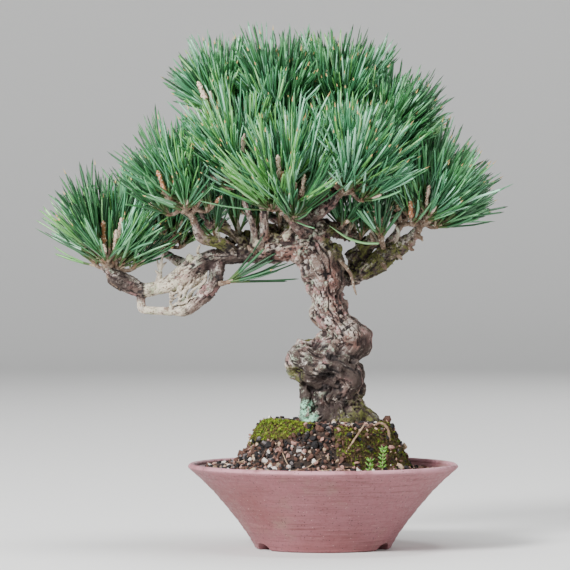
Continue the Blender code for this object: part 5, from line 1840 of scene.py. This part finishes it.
def cushion(name):
    """The soft body under the leafy stems of a patch, with its edge tucked into the soil."""
    made = Gathered()
    points = []
    for i in range(MOSS_ROWS + 1):
        for j in range(MOSS_COLUMNS + 1):
            point, normal = moss_point(name, i / MOSS_ROWS, j / MOSS_COLUMNS)
            edge = i in (0, MOSS_ROWS) or j in (0, MOSS_COLUMNS)
            points.append(point - normal * (MOSS_TUCK if edge else 0.0))
    made.add(points, np.array(net(MOSS_ROWS + 1, MOSS_COLUMNS + 1, ring=False))[:, ::-1])
    return made


for name, under, over in (
        ("moss_left", (0.05, 0.07, 0.007), (0.09, 0.08, 0.014)),
        ("moss_right", (0.036, 0.02, 0.012), (0.062, 0.052, 0.012))):
    body = Finish(name + "_body", under, 0.95)
    body.layers((stains(260, 0.42, 0.6, 0.8), over),
                (specks(1200, 0.4, 0.25), (0.15, 0.18, 0.025)))
    body.relief(grain(1400), 0.0005)
    mesh = cushion(name).mesh(name.replace("moss", "moss_cushion"))
    dress(mesh, [body], [name])

# %% Leafy stems all over them
MOSS_STEMS = {"moss_left": 3800, "moss_right": 1600}
MOSSY_TOP_STEMS = 700
MOSS_LEAVES = 5
MOSS_LEAF = (0.00095, 0.00034)  # length and width
LEAF_LEAN = (18, 62)
LEAF_SIZES = (0.75, 1.3)
MOSS_COLOURS = {  # colour, and its shares on the left and on the right cushion
    "moss_bright": ((0.25, 0.36, 0.012), (0.46, 0.05)),
    "moss_green": ((0.105, 0.19, 0.01), (0.28, 0.13)),
    "moss_olive": ((0.11, 0.092, 0.014), (0.17, 0.34)),
    "moss_brown": ((0.09, 0.044, 0.018), (0.09, 0.48)),
}


def leafy_stems():
    """Small stems of five leaves, brighter at the top of the left cushion and browner lower down.
    """
    rng = np.random.default_rng(31)
    made = Gathered()
    long, wide = MOSS_LEAF
    for patch, (name, count) in enumerate(MOSS_STEMS.items()):
        fresh = np.array([shares[patch] for _, shares in MOSS_COLOURS.values()])
        for number in range(count):
            u, v = rng.uniform(0.01, 0.99, 2)
            point, normal = moss_point(name, u, v)
            if patch == 0 and number < MOSSY_TOP_STEMS:
                start, end, reach = MOSSY_TOP
                spot = reach * math.sqrt(u), start + (end - start) * v
                point, normal = ground(*spot), ground_normal(*spot)
            low = eased(0.45, 1.0, u) * 0.75
            weights = fresh * (1 - low) + fresh[::-1] * low if patch == 0 else fresh
            tint = rng.choice(len(weights), p=weights / weights.sum())
            turn = rng.uniform(0, 2 * math.pi)
            size = rng.uniform(*LEAF_SIZES)
            for k in range(MOSS_LEAVES):
                lean = math.radians(rng.uniform(*LEAF_LEAN))
                way = fan_direction(normal, lean, turn + k * 2 * math.pi / MOSS_LEAVES)
                side = way.cross(normal).normalized() * wide * size / 2
                middle = point + way * long * size * 0.5
                made.add([point, middle - side, point + way * long * size, middle + side],
                         [(0, 1, 2), (0, 2, 3)], tint)
    return made


moss_finishes = [Finish(name, colour, 0.8) for name, (colour, _) in MOSS_COLOURS.items()]
dress(leafy_stems().mesh("moss_leaves"), moss_finishes)

# %% [markdown]
# ## Deadwood
# Under the left bough the old loop of wood has rotted to a pale fretwork with round holes, and a
# spiky stub stands on top. Wood rots where it is softest, so the fretwork is grown from a noise:
# wood stays only where the noise is near zero, which makes a net of strands. The noise is drawn
# out along the grain, and all the small balls of wood are fused into one skin.

# %% Fretwork and stub
WEB_FROM = -0.0705
WEB_TO = -0.053
WEB_STEP = 0.00045
WEB_LAYERS = (-0.0046, -0.0039, -0.0032, -0.0025, -0.0018)
WEB_GRAIN = (0.006, 0.0032, 0.0026)  # how long the noise is along, behind and across the grain
WEB_SHARE = 0.1
WEB_VOXEL = 0.00028
WEB_BOTTOM = (0.1095, 0.0098, 1.3)  # height at its left end, rise to the right, bend
WEB_TOP = (0.1178, 0.0115)
WEB_BULGE = 0.0012
WEB_STRANDS = (0.00032, 0.00048)
CRUMB = 900  # a loose bit of fewer points is dropped
STUB = metres((  # (x, z) along the spikes of the standing stub
    ((-75.6, 122.5), (-75, 126.5), (-74.5, 130)), ((-74.8, 128.5), (-74, 133), (-72.7, 139)),
    ((-74.6, 129), (-73.2, 130.5), (-71.6, 131.8)), ((-74.8, 128), (-75.7, 130), (-76.4, 133)),
    ((-75, 126), (-76.2, 126.8), (-77.2, 128.2)),
))


def rotted(x, y, z):
    """Whether the wood has gone at a place of the fretwork."""
    along, behind, across = WEB_GRAIN
    spot = Vector(((x + z) / along, y / behind, (z - x) / across)) * 0.7
    return abs(noise.noise(spot * 1.4)) > WEB_SHARE


def without_crumbs(mesh, least):
    """Drops the loose bits of a skin that have fewer points than that."""
    work = bmesh.new()
    work.from_mesh(mesh)
    left = set(work.verts)
    while left:
        bit, edge = set(), [left.pop()]
        while edge:
            vert = edge.pop()
            bit.add(vert)
            near = [e.other_vert(vert) for e in vert.link_edges]
            edge += [v for v in near if v in left]
            left.difference_update(near)
        if len(bit) < least:
            bmesh.ops.delete(work, geom=list(bit), context="VERTS")
    work.to_mesh(mesh)
    work.free()
    return mesh


def deadwood():
    """The net of rotten wood and the stub above it, as one skin."""
    rng = random.Random(41)
    web = Gathered()
    corners, triangles = ball(1)
    for x in np.arange(WEB_FROM, WEB_TO, WEB_STEP):
        u = (x - WEB_FROM) / (WEB_TO - WEB_FROM)
        low = WEB_BOTTOM[0] + WEB_BOTTOM[1] * u**WEB_BOTTOM[2]
        for z in np.arange(low, WEB_TOP[0] + WEB_TOP[1] * u, WEB_STEP):
            for y in WEB_LAYERS:
                if not rotted(x, y, z):
                    place = (x, y - WEB_BULGE * math.sin(u * math.pi), z)
                    web.add(corners * rng.uniform(*WEB_STRANDS) + place, triangles)
    for n, line in enumerate(STUB):
        thick = 0.0019 if n == 0 else 0.0011
        knots = [(x, -0.0025 + rng.uniform(-0.0015, 0.0015) * (k > 0), z, thick * (1 - 0.36 * k))
                 for k, (x, z) in enumerate(line)]
        balls_along(web, smooth_route(knots, 4), (corners, triangles))
    return without_crumbs(fused(web, WEB_VOXEL), CRUMB)


bleached = Finish("bleached_wood", (0.48, 0.42, 0.34), 0.85)
bleached.layers((stains(420, 0.45, 0.62, 0.8), (0.2, 0.15, 0.11)),
                (stains(260, 0.55, 0.68, shift=3.0), (0.48, 0.54, 0.42)))
bleached.relief(grain(1700), 0.0003)
web_mesh = deadwood()
web_mesh.name = "deadwood"
web_mesh.shade_smooth()
dress(web_mesh, [bleached])

# %% [markdown]
# ## Small things on the mound
# Two self-sown seedlings stand by the front of the mound, a dead stick leans against it, and dry
# needles have dropped on the grit. They are slight, but they give the eye its sense of scale.

# %% Seedlings
def on_ground(x, y, lift=0.0):
    """A point of the ground under a place, seen from above."""
    point = ground(math.hypot(x, y), math.atan2(y, x))
    return Vector((x, y, point.z + lift))


SEEDLINGS = metres(((26.2, -37.5, 12.5), (20.3, -39.5, 6.5)))  # x, y and height of each


def seedlings():
    """Two stems with whorls of small flat leaves."""
    rng = random.Random(53)
    made = Gathered()
    for x, y, height in SEEDLINGS:
        foot = on_ground(x, y, -0.0006)
        top = foot + Vector((0.0006, -0.0008, height))
        tube(made, [(*foot.lerp(top, t), 0.00035 - 0.00015 * t) for t in (0, 0.35, 0.7, 1.0)], 5,
             tint=1)
        whorls = max(3, round(height / 0.0022))
        for level in range(whorls):
            root = foot.lerp(top, 0.35 + 0.65 * level / (whorls - 1))
            for k in range(5):
                way = fan_direction(Vector((0, 0, 1)), math.radians(rng.uniform(45, 75)),
                                    k * 2 * math.pi / 5 + level * 0.7)
                reach = rng.uniform(0.002, 0.003)
                end = root + way * reach + Vector((0, 0, 0.0004))
                tube(made, [(*root, 0.00018), (*root.lerp(end, 0.5), 0.00034), (*end, 0.00008)], 4)
    return made


seedling_finishes = [
    Finish("seedling_leaf", (0.17, 0.42, 0.06), 0.5),
    Finish("seedling_stem", (0.33, 0.36, 0.16), 0.6),
]
dress(seedlings().mesh("seedlings"), seedling_finishes)

# %% Stick and fallen needles
FALLEN = 18
FALLEN_AT = (0.027, 0.051)  # from the axis
FALLEN_LENGTH = (0.003, 0.008)  # half of it
ROOT_ARCH = metres((  # a surface root that loops out of the mound
    (20.5, -12.5, 53.5, 0.8), (22.5, -12.5, 56.5, 0.7), (26.2, -12.5, 58, 0.6),
    (29.4, -12.5, 55.6, 0.6), (30.4, -12.5, 50, 0.6),
))


def litter():
    """The leaning stick, the looped root and the fallen needles."""
    rng = random.Random(67)
    made = Gathered()
    low = on_ground(0.0098, -0.0345, 0.0008)
    high = Vector((0.0184, -0.0262, 0.0578))
    tube(made, smooth_route([(*low, 0.0004), (*low.lerp(high, 0.5), 0.0005), (*high, 0.0004)], 4),
         6, 0.2, rng)
    tube(made, smooth_route(ROOT_ARCH, 5), 7, 0.2, rng)
    for _ in range(FALLEN):
        radius = rng.uniform(*FALLEN_AT)
        angle = rng.uniform(0, 2 * math.pi)
        half = rng.uniform(*FALLEN_LENGTH)
        turn = rng.uniform(0, math.pi)
        middle = ground(radius, angle)
        aside = Vector((math.cos(turn), math.sin(turn), 0)) * half
        ends = [on_ground(*(middle + aside * s).to_2d(), 0.0011) for s in (-1, 0, 1)]
        if max(e.to_2d().length for e in ends) > 0.052:
            continue
        tube(made, [(*e, 0.00026) for e in ends], 4)
    return made


straw = Finish("dry_straw", (0.4, 0.28, 0.18), 0.7)
straw.layers((stains(300, 0.45, 0.6, 0.7), (0.2, 0.12, 0.07)))
dress(litter().mesh("litter"), [straw])

# %% [markdown]
# ## Stage and light
# The plant stands on a plain pale floor that sweeps up all round like a shallow bowl, so that no
# horizon cuts behind it from any side. A wide soft light from the upper left of the camera models
# the bark, one above catches the tips, and a weak one on the right keeps the shade open.

# %% A pale floor
FLOOR_RADIUS = 2.35
SWEEP = 0.7
FLOOR_SIDES = 96


def pale_floor():
    """A round floor with a rim that sweeps up."""
    profile = [(0.0, 0.0)] + [(r, 0.0) for r in np.linspace(0.3, FLOOR_RADIUS, 6)]
    profile += [(FLOOR_RADIUS + SWEEP * math.sin(a), SWEEP * (1 - math.cos(a)))
                for a in np.linspace(0.1, math.pi / 2, 20)]
    mesh = spun("floor", profile, (0, 0, 0), FLOOR_SIDES, closed=False)
    mesh.shade_smooth()
    return placed("floor", mesh)


floor = pale_floor()
floor.data.materials.append(Finish("pale_floor", (0.73, 0.73, 0.72), 0.9).material)
floor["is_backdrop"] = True
print("floor faces:", len(floor.data.polygons))

# %% Lights
LIGHTS = {  # place, size and watts
    "key": ((-1.15, -1.35, 1.1), 0.6, 92.0),
    "top": ((0.1, 0.0, 1.9), 1.0, 30.0),
    "fill": ((1.6, -0.8, 0.5), 0.9, 13.0),
    "back": ((0.6, 1.6, 1.2), 1.0, 12.0),
}
for name, (place, size, power) in LIGHTS.items():
    lamp = bpy.data.lights.new(name, "AREA")
    lamp.size = size
    lamp.energy = power
    light = placed(name, lamp)
    light.location = Vector(place)
    aim = Vector((0.0, 0.0, 0.12)) - light.location
    light.rotation_euler = aim.to_track_quat("-Z", "Y").to_euler()

sky = bpy.data.worlds.new("soft_sky")
sky.use_nodes = True
backdrop = sky.node_tree.nodes["Background"]
backdrop.inputs["Color"].default_value = (0.95, 0.97, 1.0, 1.0)
backdrop.inputs["Strength"].default_value = 0.24
bpy.context.scene.world = sky
print("lights:", list(LIGHTS))

# %% [markdown]
# ## Measure and finish
# The box round the dressed plant is set beside the box of its solids, where soft foliage may
# stand proud, and the last line prints how far each side of it lies from the solids, in
# millimetres.

# %% Write the sizes and finish
VISUAL_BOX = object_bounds()
for label, cad, seen in zip(("lowest", "highest"), CAD_BOX, VISUAL_BOX):
    print(label, [round(1000 * (b - a), 2) for a, b in zip(cad, seen)], "mm from the solids")
